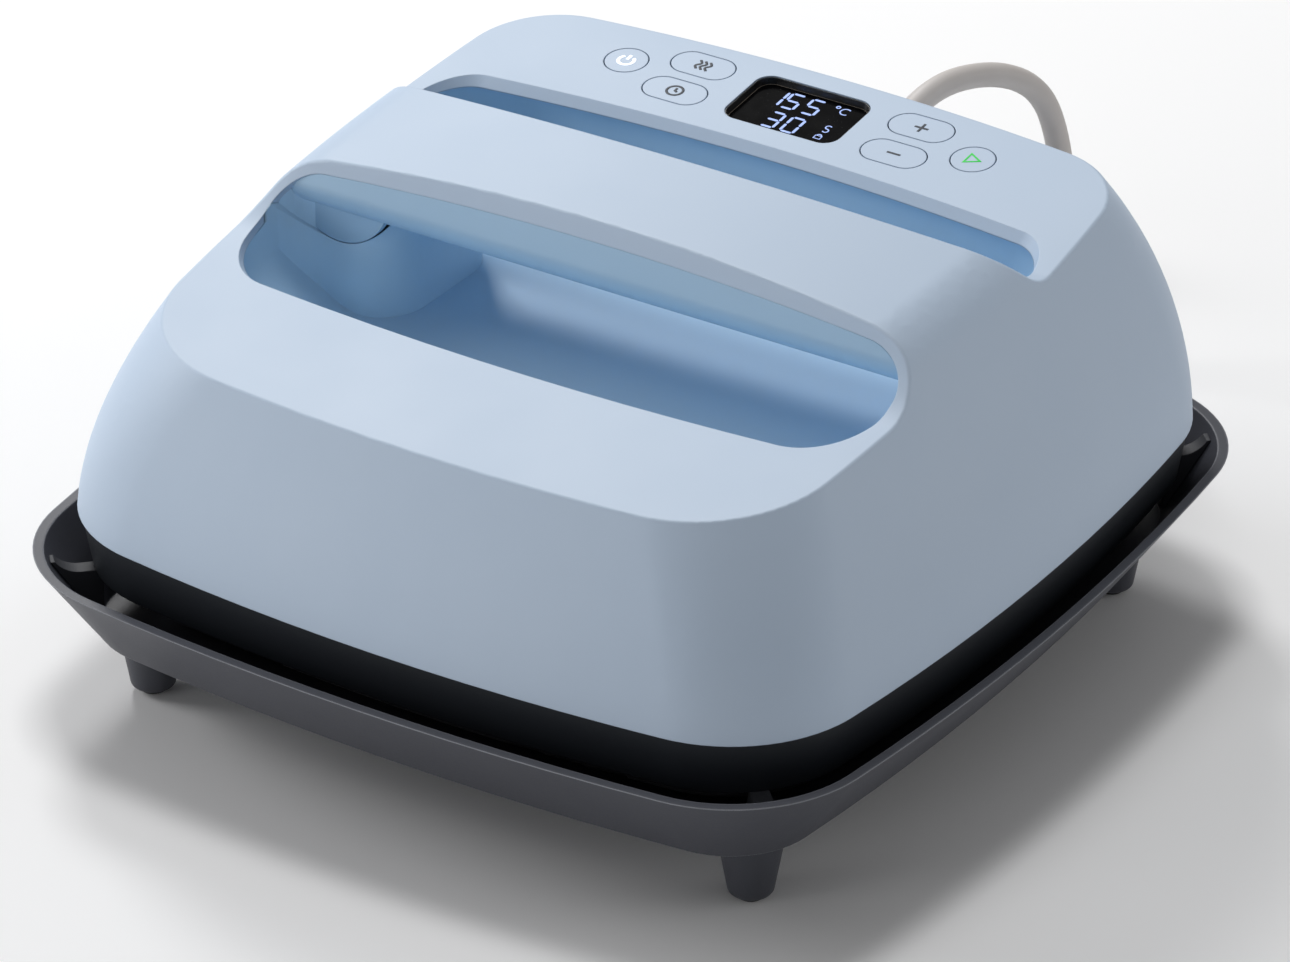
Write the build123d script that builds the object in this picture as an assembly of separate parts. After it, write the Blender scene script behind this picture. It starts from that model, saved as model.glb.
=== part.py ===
from build123d import *
import math
import os

os.makedirs("parts", exist_ok=True)

# How round and boxed pieces sit on their place
stand_up = (Align.CENTER, Align.CENTER, Align.MIN)
hang_down = (Align.CENTER, Align.CENTER, Align.MAX)

# Upper shell, outline at its lower edge
shell_width = 252.0
shell_depth = 253.8
shell_corner_radius = 40.6
shell_bow_radius = 795.0
shell_wall = 2.5
press_setback = 1.6

# Tilted top of the shell and how far each wall draws in up to it
top_tilt = 6.23
top_centre_height = 63.4
side_draw = 20.7
front_draw = 18.8
rear_draw = 28.2
draw_straight_share = 0.23
top_front_corner_radius = 40.0
top_rear_corner_radius = 27.0
level_shares = (0.0, 0.35, 0.7, 1.0, 1.4)

# Bridge handle
handle_top_height = 82.0
crown_radius = 790.0
crown_tilt = 3.4
shoulder_radius = 22.0
crease_radius = 1.3
crease_least_angle = 15.0
crease_least_height = 5.0
handle_front_edge = 20.4
handle_front_lean = 23.0
handle_rear_edge = 18.0
handle_rear_slope = 44.0
front_scoop_radius = 24.0
rear_scoop_radius = 10.0

# Openings into the hand recess
opening_lip = 5.8
opening_slant = 45.0
opening_front = 65.0
opening_rear = 59.6
opening_lower_bow = 4.0
opening_upper_drop = 4.4
opening_corner_radius = 19.0
opening_root_radius = 14.0
slot_corner_radius = 14.0
slot_root_radius = 9.0

# Liner of the hand recess
liner_wall = 2.0
liner_gap = 0.4
tunnel_width = 132.0
tunnel_corner_radius = 15.0
recess_corner_radius = 20.0
recess_floor_height = 30.0
recess_root_radius = 13.0
recess_rear_root_radius = 6.0
recess_end_radius = 26.0
recess_end_drop = 0.05
recess_wall_height = 50.0
recess_slope_run = 20.0
recess_floor_radius = 14.0

# Underside of the handle
underside_wall = 2.4
underside_rear = 31.5
underside_shoulder_radius = 4.0
underside_gap = 0.35
underside_height = 61.0
underside_front_radius = 6.0
underside_rear_radius = 6.0
ear_place = 83.5
ear_height = 68.0
ear_radius = 16.2
pillar_setback = 22.0

# Dark lower band
band_height = 16.0
band_step = 0.8
band_taper = 2.8
band_wall = 3.0
band_flange = 2.5
band_flange_reach = 9.0

# Heat plate
plate_side = 229.0
plate_corner_radius = 34.0
plate_thickness = 9.0
plate_drop = 8.0
plate_edge_radius = 2.0

# Heating element and the bars that hold it
element_diameter = 6.0
element_pitch = 24.0
element_columns = 8
element_reach = 80.0
element_tail = 12.0
bar_length = 180.0
bar_width = 10.0
bar_thickness = 1.5
bar_place = 45.0

# Insulation, heat shield and chassis
blanket_side = 172.0
blanket_thickness = 5.0
blanket_corner_radius = 10.0
shield_side = 176.0
shield_thickness = 1.0
chassis_gap = 1.6
chassis_thickness = 3.0
stack_gap = 0.2

# Spacers and screws
spacer_place = 93.0
spacer_diameter = 8.0
plate_screw_diameter = 3.8
plate_screw_depth = 6.0
screw_clearance = 0.2
head_height = 2.4
head_share = 1.8
boss_diameter = 9.0
boss_place = 95.0
boss_front = 82.0
boss_rear = 76.0
shell_screw_diameter = 3.0
shell_screw_length = 10.0
handle_boss_diameter = 7.0
handle_boss_place = 45.0
handle_screw_length = 10.0

# Control panel
panel_centre = 79.4
key_column = 35.5
key_row = 7.4
key_length = 20.0
key_width = 11.5
round_key_column = 56.3
round_key_diameter = 13.0
key_clearance = 0.35
key_flange = 1.0
key_flange_reach = 0.9
key_flange_gap = 0.4
key_stem_diameter = 3.2
key_stem_length = 1.5
key_travel = 0.6
key_spare = 0.1

# Display
display_width = 36.8
display_height = 24.4
display_radius = 5.0
window_width = 35.1
window_height = 22.7
window_radius = 4.2
window_sink = 2.2
window_gap = 0.1
bezel_gap = 0.15
bezel_rim = 0.3
bezel_sink = 0.3
bezel_flange = 1.0
bezel_flange_reach = 1.2
lens_thickness = 1.5
module_width = 41.0
module_height = 25.0

# Control board
board_width = 142.0
board_depth = 30.0
board_thickness = 1.6
switch_side = 6.0
switch_height = 3.2
plunger_height = 0.9
board_boss_diameter = 5.2
board_boss_side_inset = 4.5
board_boss_end_inset = 3.5
board_screw_diameter = 2.0
board_screw_length = 5.0
buzzer_diameter = 12.0
buzzer_height = 6.0
buzzer_inset = 23.0

# Power board and what it carries
power_width = 128.0
power_depth = 36.0
power_place = 84.0
post_height = 6.5
post_diameter = 7.0
post_inset = 5.0
relay_size = (20.0, 16.0, 16.0)
relay_share = 0.328
capacitor_size = (26.0, 9.0, 16.0)
capacitor_share = 0.094
supply_size = (32.0, 24.0, 18.0)
supply_share = 0.3125
terminal_size = (20.0, 11.0, 12.0)
terminal_share = 0.047
capacitor_row = 9.0
terminal_row = 9.0
ribbon_width = 12.0
ribbon_thickness = 0.8
ribbon_place = -22.0
ribbon_row = 12.0

# Heater leads and sensors
lead_diameter = 3.0
lead_gap = 0.3
lead_hole_gap = 0.5
lead_rise = 22.0
lead_turn_radius = 5.0
lead_reach = 24.0
sensor_diameter = 5.0
sensor_length = 12.0
fuse_diameter = 4.4
fuse_length = 11.0
fuse_row = 22.0

# Safety base
tray_width = 267.8
tray_depth = 273.2
tray_corner_radius = 42.2
tray_bow_radius = 926.0
tray_height = 46.2
tray_wall_drop = 24.6
tray_wall_draw = 17.2
tray_rim = 3.0
tray_floor = 2.4
leg_side_inset = 37.5
leg_end_inset = 42.1
leg_tip_diameter = 12.0
leg_top_diameter = 19.6
leg_tip_radius = 2.0
leg_root_radius = 4.0
pad_diameter = 7.0
pad_thickness = 1.2
rest_overlap = 2.2
rest_width = 9.0
rest_top_width = 5.0
rest_flat = 5.6
rest_rise_radius = 9.0
rest_rise = 3.6
rest_gap = 0.3
shell_base_height = 57.0

# Mains cord
cord_diameter = 7.2
cord_exit_height = 37.5
relief_length = 24.0
relief_root_diameter = 12.4
relief_tip_diameter = 9.6
relief_flange_diameter = 16.0
relief_flange = 1.6
relief_bore_gap = 0.1
relief_neck_gap = 0.2
relief_flange_gap = 0.6
cord_sunk_length = 15.5
cord_bend_reach = 37.0
cord_inner_bend = 18.0
collar_diameter = 12.0
collar_length = 5.0

bend_share = 0.45
lead_last_run = 16.8
cord_points = [
    (5.0, 177.6, 106.1),
    (11.0, 196.6, 93.0),
    (16.0, 206.8, 71.9),
    (19.0, 208.0, 46.0),
    (17.0, 204.0, 24.0),
    (4.0, 190.0, 7.0),
    (-16.0, 172.0, 3.7),
    (-36.0, 157.0, 3.7),
    (-58.0, 148.0, 4.2),
]

# Put-away coil, its tie and the plug
coil_x = -100.0
coil_y = 193.0
coil_radius = 47.0
coil_pitch = 7.7
coil_turns = 2.5
coil_tail = 40.0
tie_thickness = 0.8
tie_gap = 0.2
tie_width = 14.0
plug_length = 36.0
plug_width = 24.0
plug_root = 13.0
plug_corner_radius = 3.0
pin_length = 17.0
pin_width = 6.4
pin_thickness = 1.6
pin_pitch = 12.7
earth_pin_diameter = 4.8
earth_pin_offset = 8.0

# Spare length that carries cuts past a face
overrun = 60.0

half_width = shell_width / 2
half_depth = shell_depth / 2
seat_press = Pos(0, press_setback, shell_base_height)


def draw_rate(share):
    """Share of a wall's full draw that is reached at a share of the top's height."""
    return draw_straight_share * share + (1 - draw_straight_share) * share**2


def top_height(y):
    """Height of the tilted top above the shell's lower edge."""
    return top_centre_height + y * math.tan(math.radians(top_tilt))


def outline(half_x, front, rear, front_radius, rear_radius, bow_radius):
    """Closed outline of four bowed sides with rounded corners."""
    middle = (rear - front) / 2
    corner_x = half_x - ((rear + front) / 2) ** 2 / (2 * bow_radius)
    corner_front = front - half_x**2 / (2 * bow_radius)
    corner_rear = rear - half_x**2 / (2 * bow_radius)
    sides = [
        ThreePointArc((-corner_x, -corner_front), (0, -front), (corner_x, -corner_front)),
        ThreePointArc((corner_x, -corner_front), (half_x, middle), (corner_x, corner_rear)),
        ThreePointArc((corner_x, corner_rear), (0, rear), (-corner_x, corner_rear)),
        ThreePointArc((-corner_x, corner_rear), (-half_x, middle), (-corner_x, -corner_front)),
    ]
    face = make_face(sides)
    face = fillet(face.vertices().sort_by(Axis.Y)[:2], front_radius)
    return fillet(face.vertices().sort_by(Axis.Y)[-2:], rear_radius)


def level(share, inset):
    """Cross-section of the shell's form at a share of the top's height."""
    rate = draw_rate(share)
    tilt = top_tilt * share
    stretch = 1 / math.cos(math.radians(tilt))
    front_radius = shell_corner_radius + (top_front_corner_radius - shell_corner_radius) * share
    rear_radius = shell_corner_radius + (top_rear_corner_radius - shell_corner_radius) * share
    face = outline(
        half_width - side_draw * rate - inset,
        (half_depth - front_draw * rate - inset) * stretch,
        (half_depth - rear_draw * rate - inset) * stretch,
        front_radius - inset,
        rear_radius - inset,
        shell_bow_radius,
    )
    return Pos(0, 0, top_centre_height * share) * Rot(tilt, 0, 0) * face


def crown(inset):
    """Large cylinder whose top is the crown of the handle."""
    rod = Cylinder(crown_radius - inset, 2 * shell_depth, rotation=(90, 0, 0))
    return Pos(0, 0, handle_top_height) * Rot(crown_tilt, 0, 0) * Pos(0, 0, -crown_radius) * rod


def crown_height(y):
    """Height of the handle's crown along its middle."""
    return handle_top_height + y * math.tan(math.radians(crown_tilt))


def prism(profile):
    """Solid that carries a front-to-back profile across the whole width."""
    return extrude(Plane.YZ * profile, amount=shell_width, both=True)


def scoop(edge, run, inset, radius, facing):
    """Space above the top on one side of the handle, bounded by the handle's sloped face."""
    grade = math.tan(math.radians(top_tilt))
    edge_y = facing * (edge - inset)
    edge_z = crown_height(facing * edge)
    base = top_centre_height - inset
    corner_z = (base + grade * (edge_y + facing * run * edge_z)) / (1 + grade * facing * run)
    corner_y = edge_y + facing * run * (edge_z - corner_z)
    high = 2 * handle_top_height
    far = facing * shell_depth
    points = [
        (far, base + grade * far),
        (corner_y, corner_z),
        (edge_y - facing * run * (high - edge_z), high),
        (far, high),
    ]
    face = make_face(Polyline(*points, close=True))
    corner = face.vertices().sort_by_distance((corner_y, corner_z, 0))[0]
    return prism(fillet(corner, radius + inset))


def front_scoop(inset):
    """Scoop in front of the handle."""
    run = math.tan(math.radians(handle_front_lean))
    return scoop(handle_front_edge, run, inset, front_scoop_radius, -1)


def rear_scoop(inset):
    """Scoop behind the handle."""
    run = 1 / math.tan(math.radians(handle_rear_slope))
    return scoop(handle_rear_edge, run, inset, rear_scoop_radius, 1)


def body_form(inset):
    """Solid form of the upper shell, drawn in by an inset."""
    form = loft([level(share, inset) for share in level_shares]) & crown(inset)
    form = form - front_scoop(inset) - rear_scoop(inset)
    top = form.faces().sort_by(Axis.Z)[-1]
    ends = [edge for edge in top.edges() if abs(edge.center().X) > half_width / 2]
    return fillet(ends, shoulder_radius - inset)


def crease_angle(form, edge):
    """Angle between the two faces that meet at an edge of a form, or zero at a seam."""
    sides = [face for face in form.faces() if any(edge.is_same(side) for side in face.edges())]
    if len(sides) < 2:
        return 0
    middle = edge.center()
    return sides[0].normal_at(middle).get_angle(sides[1].normal_at(middle))


def rounded_form():
    """Form of the upper shell with its creases slightly rounded."""
    form = body_form(0)
    edges = [edge for edge in form.edges() if edge.center().Z > crease_least_height]
    creases = [edge for edge in edges if crease_angle(form, edge) > crease_least_angle]
    return fillet(creases, crease_radius)


def front_lip():
    """Point on the handle's front face where the underside begins."""
    lean = math.radians(handle_front_lean)
    y = -handle_front_edge - opening_lip * math.sin(lean)
    z = crown_height(-handle_front_edge) - opening_lip * math.cos(lean)
    return y, z


def rear_lip():
    """Point on the handle's rear slope where the underside begins."""
    slope = math.radians(handle_rear_slope)
    y = handle_rear_edge + opening_lip * math.cos(slope)
    z = crown_height(handle_rear_edge) - opening_lip * math.sin(slope)
    return y, z


opening_half = half_width - side_draw - opening_lip
leg_column = tray_width / 2 - leg_side_inset
leg_row = tray_depth / 2 - leg_end_inset
board_boss_column = board_width / 2 - board_boss_side_inset
board_boss_row = board_depth / 2 - board_boss_end_inset
buzzer_place = board_width / 2 - buzzer_inset


def opening(edge, lip, facing, radius, root_radius):
    """Slanted cutter of an opening, from its outer edge on the top to the handle's lip."""
    slant = math.radians(opening_slant)
    across, up = -facing * math.sin(slant), math.cos(slant)
    low = across * facing * edge + up * top_height(facing * edge)
    high = across * lip[0] + up * lip[1]
    foot, head = low + opening_lower_bow, high - opening_upper_drop
    sides = [
        ThreePointArc((-opening_half, foot), (0, low), (opening_half, foot)),
        Line((opening_half, foot), (opening_half, head)),
        ThreePointArc((opening_half, head), (0, high), (-opening_half, head)),
        Line((-opening_half, head), (-opening_half, foot)),
    ]
    face = make_face(sides)
    face = fillet(face.vertices().sort_by(Axis.Y)[:2], radius)
    face = fillet(face.vertices().sort_by(Axis.Y)[-2:], root_radius)
    outward = (0, facing * math.cos(slant), math.sin(slant))
    plane = Plane(origin=(0, 0, 0), x_dir=(-facing, 0, 0), z_dir=outward)
    return extrude(plane * face, amount=shell_depth)


def panel_place(x, y, depth):
    """Place on the control panel, measured from its centre and down from its surface."""
    tilt = math.radians(top_tilt)
    plane = Plane(
        origin=(0, panel_centre, top_height(panel_centre)),
        x_dir=(1, 0, 0),
        z_dir=(0, -math.sin(tilt), math.cos(tilt)),
    )
    return plane.location * Pos(x, y, -depth)


key_places = {
    "power": (-round_key_column, 0, True),
    "temperature": (-key_column, key_row, False),
    "timer": (-key_column, -key_row, False),
    "plus": (key_column, key_row, False),
    "minus": (key_column, -key_row, False),
    "start": (round_key_column, 0, True),
}


def key_outline(round_key, grow):
    """Flat outline of a key, grown all round."""
    if round_key:
        return Circle(round_key_diameter / 2 + grow)
    return SlotOverall(key_length + 2 * grow, key_width + 2 * grow)


flange_depth = shell_wall + key_flange_gap
stem_depth = flange_depth + key_flange
switch_depth = stem_depth + key_stem_length + key_travel + key_spare
board_depth_below = switch_depth + plunger_height + switch_height


def key(name):
    """Key cap with its retaining flange and stem."""
    x, y, round_key = key_places[name]
    cap = extrude(key_outline(round_key, -key_clearance), amount=-flange_depth)
    flange = extrude(key_outline(round_key, key_flange_reach), amount=-key_flange)
    stem = extrude(Circle(key_stem_diameter / 2), amount=-key_stem_length)
    solid = cap + Pos(0, 0, -flange_depth) * flange + Pos(0, 0, -stem_depth) * stem
    return panel_place(x, y, 0) * solid


def key_switches():
    """Six push switches under the keys."""
    solids = []
    for x, y, _ in key_places.values():
        base = Box(switch_side, switch_side, switch_height, align=hang_down)
        tip = Cylinder(key_stem_diameter / 2, plunger_height, align=hang_down)
        solid = tip + Pos(0, 0, -plunger_height) * base
        solids.append(panel_place(x, y, switch_depth) * solid)
    return solids


def board_corners():
    """Places of the control board's four screws."""
    return [(i * board_boss_column, j * board_boss_row) for i in (-1, 1) for j in (-1, 1)]


def control_board():
    """Board under the panel, with its screw holes."""
    board = extrude(Rectangle(board_width, board_depth), amount=-board_thickness)
    for x, y in board_corners():
        board -= Pos(x, y, 0) * Cylinder(board_screw_diameter / 2 + screw_clearance, overrun)
    return panel_place(0, 0, board_depth_below) * board


def board_screws():
    """Four screws that hold the control board to the shell."""
    solids = []
    for x, y in board_corners():
        head = Cylinder(board_screw_diameter / 2 * head_share, head_height, align=hang_down)
        shank = Cylinder(board_screw_diameter / 2, board_screw_length, align=stand_up)
        solids.append(panel_place(x, y, board_depth_below + board_thickness) * (head + shank))
    return solids


def buzzer():
    """Sounder under the control board."""
    can = Cylinder(buzzer_diameter / 2, buzzer_height, align=hang_down)
    return panel_place(buzzer_place, 0, board_depth_below + board_thickness) * can


bezel_depth = shell_wall + bezel_gap
lens_depth = bezel_depth + bezel_flange


def display_bezel():
    """Dark frame that lines the display opening, with sloped inner faces."""
    rim = RectangleRounded(
        display_width - 2 * bezel_gap, display_height - 2 * bezel_gap, display_radius - bezel_gap
    )
    body = Pos(0, 0, -bezel_sink) * extrude(rim, amount=-(lens_depth - bezel_sink))
    flange = RectangleRounded(
        display_width + 2 * bezel_flange_reach, display_height + 2 * bezel_flange_reach, display_radius
    )
    body += Pos(0, 0, -bezel_depth) * extrude(flange, amount=-bezel_flange)
    edge = bezel_gap + bezel_rim
    mouth = RectangleRounded(display_width - 2 * edge, display_height - 2 * edge, display_radius - edge)
    hole = RectangleRounded(window_width, window_height, window_radius)
    body -= loft([Pos(0, 0, -bezel_sink) * mouth, Pos(0, 0, -window_sink) * hole], ruled=True)
    body -= Pos(0, 0, -window_sink) * extrude(hole, amount=-(lens_depth - window_sink))
    return panel_place(0, 0, 0) * body


def display_window():
    """Dark window that fills the bezel from behind."""
    flange = RectangleRounded(
        display_width + 2 * bezel_flange_reach, display_height + 2 * bezel_flange_reach, display_radius
    )
    face = RectangleRounded(
        window_width - 2 * window_gap, window_height - 2 * window_gap, window_radius - window_gap
    )
    lens = Pos(0, 0, -lens_depth) * extrude(flange, amount=-lens_thickness)
    lens += Pos(0, 0, -window_sink) * extrude(face, amount=-(lens_depth - window_sink))
    return panel_place(0, 0, 0) * lens


def display_module():
    """Display block between the window and the control board."""
    depth = lens_depth + lens_thickness
    block = extrude(Rectangle(module_width, module_height), amount=-(board_depth_below - depth))
    return panel_place(0, 0, depth) * block


def boss_places():
    """Places of the shell's four long screw bosses."""
    return [(i * boss_place, y) for i in (-1, 1) for y in (-boss_front, boss_rear)]


chassis_base = band_flange
chassis_top = chassis_base + chassis_thickness


def exit_pose():
    """Place and direction where the cord leaves the rear wall."""
    share = cord_exit_height / top_height(half_depth - rear_draw)
    y = half_depth - rear_draw * draw_rate(share)
    grade = draw_straight_share + 2 * (1 - draw_straight_share) * share
    lean = math.atan(rear_draw * grade / top_height(half_depth - rear_draw))
    return y, lean


def exit_place(reach):
    """Place on the cord's exit line, with its local Z outward."""
    y, lean = exit_pose()
    plane = Plane(origin=(0, y, cord_exit_height), x_dir=(1, 0, 0), z_dir=(0, math.cos(lean), math.sin(lean)))
    return plane.location * Pos(0, 0, reach)


def upper_shell():
    """Blue shell with its openings, key holes and inner bosses."""
    core = body_form(shell_wall)
    shell = rounded_form() - core
    shell -= opening(opening_front, front_lip(), -1, opening_corner_radius, opening_root_radius)
    shell -= opening(opening_rear, rear_lip(), 1, slot_corner_radius, slot_root_radius)
    for x, y, round_key in key_places.values():
        hole = extrude(key_outline(round_key, 0), amount=key_length / 2, both=True)
        shell -= panel_place(x, y, 0) * hole
    window = RectangleRounded(display_width, display_height, display_radius)
    shell -= panel_place(0, 0, 0) * extrude(window, amount=key_length / 2, both=True)
    shell -= exit_place(0) * Cylinder(relief_root_diameter / 2 + relief_neck_gap, relief_length)
    for x, y in boss_places():
        post = Pos(x, y, chassis_top) * Cylinder(boss_diameter / 2, top_height(y), align=stand_up)
        bore = Cylinder(shell_screw_diameter / 2 + screw_clearance, 2 * shell_screw_length)
        shell += (post & body_form(shell_wall / 2)) - Pos(x, y, chassis_top) * bore
    for x, y in board_corners():
        height = board_depth_below - shell_wall / 2
        post = Cylinder(board_boss_diameter / 2, height, align=stand_up)
        bore = Cylinder(board_screw_diameter / 2 + screw_clearance, 2 * board_screw_length)
        shell += panel_place(x, y, board_depth_below) * (post - bore)
    for x in (-handle_boss_place, handle_boss_place):
        low = underside_height + underside_wall + underside_gap
        post = Pos(x, 0, low) * Cylinder(handle_boss_diameter / 2, handle_top_height, align=stand_up)
        bore = Pos(x, 0, low) * Cylinder(shell_screw_diameter / 2 + screw_clearance, 2 * handle_screw_length)
        shell += (post & body_form(shell_wall / 2)) - bore
    return shell


def front_face(z):
    """Front-to-back place of the handle's front face at a height."""
    lean = math.tan(math.radians(handle_front_lean))
    return -handle_front_edge - lean * (crown_height(-handle_front_edge) - z)


def rear_face(y):
    """Height of the handle's rear slope at a front-to-back place."""
    return crown_height(handle_rear_edge) - math.tan(math.radians(handle_rear_slope)) * (y - handle_rear_edge)


def recess_form(grow):
    """Sides of the hand recess, two troughs joined under the handle, with a pillar at the left."""
    half, tunnel = opening_half + grow, tunnel_width / 2 + grow
    front, rear = opening_front + grow, opening_rear + grow
    front_end, rear_end = grow - pillar_setback, underside_rear - grow
    points = [(-half, -front), (half, -front), (half, rear), (-half, rear)]
    points += [(-half, rear_end), (-tunnel, rear_end), (-tunnel, front_end), (-half, front_end)]
    face = make_face(Polyline(*points, close=True))
    face = fillet(face.vertices().sort_by(Axis.Y)[:2], recess_corner_radius + grow)
    face = fillet(face.vertices().sort_by(Axis.Y)[-2:], recess_corner_radius + grow)
    corners = [v for v in face.vertices() if abs(v.X + tunnel) < liner_gap]
    face = fillet(corners, tunnel_corner_radius - grow)
    for end, radius in ((front_end, recess_root_radius), (rear_end, recess_rear_root_radius)):
        roots = [v for v in face.vertices() if abs(v.Y - end) < liner_gap and v.X < liner_gap - half]
        face = fillet(roots, radius + grow)
    return extrude(face, amount=shell_depth)


def recess_profile():
    """Front-to-back profile of the hand recess, with slopes that run on past its ends."""
    slope = (recess_wall_height - recess_floor_height) / recess_slope_run
    high = recess_wall_height + overrun * slope
    points = [
        (-opening_front - overrun, high),
        (-opening_front + recess_slope_run, recess_floor_height),
        (opening_rear - recess_slope_run, recess_floor_height),
        (opening_rear + overrun, high),
    ]
    face = make_face(Polyline(*points, close=True))
    return fillet(face.vertices().sort_by(Axis.Y)[:2], recess_floor_radius)


def recess_ends(grow):
    """Space between the recess's ends, which curve up from its floor."""
    half, low = opening_half + grow, recess_floor_height - recess_end_drop - grow
    points = [(-half, low), (half, low), (half, low + shell_depth), (-half, low + shell_depth)]
    face = make_face(Polyline(*points, close=True))
    face = fillet(face.vertices().sort_by(Axis.Y)[:2], recess_end_radius + grow)
    return extrude(Plane.XZ * face, amount=shell_depth, both=True)


def open_form():
    """Space that pieces of the hand recess may fill, out to the shell's surface in its openings."""
    space = body_form(shell_wall + liner_gap)
    front = opening(opening_front, front_lip(), -1, opening_corner_radius, opening_root_radius)
    rear = opening(opening_rear, rear_lip(), 1, slot_corner_radius, slot_root_radius)
    outer = body_form(0)
    return space + (outer & front) + (outer & rear)


def bar_face(front, rear):
    """Profile of the handle below two points on its front and rear faces."""
    points = [
        front,
        (front_face(underside_height), underside_height),
        (underside_rear, underside_height),
        (underside_rear, rear_face(underside_rear)),
        rear,
    ]
    face = make_face(Polyline(*points, close=True))
    for point, radius in (
        (points[1], underside_front_radius),
        (points[2], underside_rear_radius),
        (points[3], underside_shoulder_radius),
    ):
        face = fillet(face.vertices().sort_by_distance((*point, 0))[0], radius)
    return face


def bar_profile():
    """Profile of the handle below its lips."""
    return bar_face(front_lip(), rear_lip())


def bar_hollow():
    """Profile of the hollow inside the handle, open at the top."""
    front = (-handle_front_edge, crown_height(-handle_front_edge))
    rear = (handle_rear_edge, crown_height(handle_rear_edge))
    return offset(bar_face(front, rear), amount=-underside_wall)


def ear(grow):
    """Round left end of the handle's front face."""
    rod = Cylinder(ear_radius + grow, overrun, rotation=(90, 0, 0))
    return Pos(-ear_place, -pillar_setback, ear_height) * rod


def countersink(grow):
    """Sunk screw head and shank under the handle."""
    radius = shell_screw_diameter / 2
    head = Cone(radius * head_share + grow, radius + grow, head_height * 3 / 4, align=stand_up)
    shank = Cylinder(radius + grow, handle_screw_length, align=stand_up)
    return head + shank


def handle_places():
    """Places of the handle's two screws."""
    return [Pos(i * handle_boss_place, 0, underside_height) for i in (-1, 1)]


def handle_underside(space):
    """Deeper blue gutter that closes the handle from below, with its round left end."""
    gutter = prism(bar_profile() - bar_hollow())
    high, low = underside_height + underside_wall / 2, ear_height - ear_radius - liner_gap
    near, far = -pillar_setback, underside_wall - pillar_setback
    front = prism(make_face(Polyline((near, low), (far, low), (far, high), (near, high), close=True)))
    solid = (gutter + (front & ear(0))) & space
    for place in handle_places():
        solid -= place * countersink(screw_clearance)
    return solid


def handle_liner(space):
    """Deeper blue trough of the hand recess."""
    profile = recess_profile()
    outer = recess_form(liner_wall) & prism(offset(profile, amount=liner_wall)) & recess_ends(liner_wall)
    liner = (outer - (recess_form(0) & prism(profile) & recess_ends(0))) & space
    liner -= prism(offset(bar_profile(), amount=underside_gap))
    return liner - ear(underside_gap)


def base_outline(inset):
    """Outline of the shell's lower edge, drawn in by an inset."""
    radius = shell_corner_radius - inset
    depth = half_depth - inset
    return outline(half_width - inset, depth, depth, radius, radius, shell_bow_radius)


def lower_band():
    """Dark tapered band under the shell, with a flange that carries the chassis."""
    foot = band_step + band_taper
    outer = loft([base_outline(band_step), Pos(0, 0, -band_height) * base_outline(foot)], ruled=True)
    inner_low = Pos(0, 0, -band_height) * base_outline(foot + band_wall)
    inner = loft([base_outline(band_step + band_wall), inner_low], ruled=True)
    edge = shell_wall + chassis_gap
    ring = base_outline(edge) - base_outline(edge + band_flange_reach)
    return (outer - inner) + extrude(ring, amount=band_flange, both=True)


plate_base = -band_height - plate_drop
plate_top = plate_base + plate_thickness
element_axis = plate_top + stack_gap / 2 + element_diameter / 2
bar_base = element_axis + element_diameter / 2 + stack_gap / 2
blanket_base = bar_base + bar_thickness + stack_gap
shield_base = blanket_base + blanket_thickness + stack_gap


def square_places(place):
    """Four places at the corners of a square."""
    return [(i * place, j * place) for i in (-1, 1) for j in (-1, 1)]


def heat_plate():
    """Heat plate with four blind screw holes."""
    half = plate_side / 2
    face = outline(half, half, half, plate_corner_radius, plate_corner_radius, shell_bow_radius)
    plate = extrude(face, amount=plate_thickness)
    plate = fillet(plate.edges().group_by(Axis.Z)[0], plate_edge_radius)
    for x, y in square_places(spacer_place):
        depth = plate_screw_depth + screw_clearance
        bore = Cylinder(plate_screw_diameter / 2 + screw_clearance, 2 * depth)
        plate -= Pos(x, y, plate_thickness) * bore
    return Pos(0, 0, plate_base) * plate


def element_columns_x():
    """Places of the heating element's straight runs."""
    first = -(element_columns - 1) / 2 * element_pitch
    return [first + i * element_pitch for i in range(element_columns)]


def heating_element():
    """Tube bent to and fro over the plate, with both ends at the rear."""
    columns = element_columns_x()
    tail = element_reach + element_tail
    points = [(columns[0], tail), (columns[0], -element_reach)]
    for i, x in enumerate(columns[1:-1]):
        ends = (-element_reach, element_reach) if i % 2 == 0 else (element_reach, -element_reach)
        points += [(x, y) for y in ends]
    points += [(columns[-1], -element_reach), (columns[-1], tail)]
    path = FilletPolyline(*[(x, y, element_axis) for x, y in points], radius=element_pitch / 2 - stack_gap)
    start = Plane(origin=path @ 0, z_dir=path % 0)
    return sweep(start * Circle(element_diameter / 2), path=path)


def element_bars():
    """Two flat bars that press the element onto the plate."""
    bar = Box(bar_length, bar_width, bar_thickness, align=stand_up)
    return [Pos(0, i * bar_place, bar_base) * bar for i in (-1, 1)]


def insulation_blanket():
    """Soft insulation over the element."""
    face = RectangleRounded(blanket_side, blanket_side, blanket_corner_radius)
    return Pos(0, 0, blanket_base) * extrude(face, amount=blanket_thickness)


def heat_shield():
    """Sheet metal over the insulation."""
    face = RectangleRounded(shield_side, shield_side, blanket_corner_radius)
    return Pos(0, 0, shield_base) * extrude(face, amount=shield_thickness)


def post_places():
    """Places of the posts that carry the power board."""
    x, y = power_width / 2 - post_inset, power_depth / 2 - post_inset
    return [(i * x, power_place + j * y) for i in (-1, 1) for j in (-1, 1)]


def lead_places():
    """Places where the heater leads rise."""
    y = element_reach + element_tail - lead_diameter / 2
    return [(element_columns_x()[i], y, j) for i, j in ((0, 1), (-1, -1))]


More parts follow.
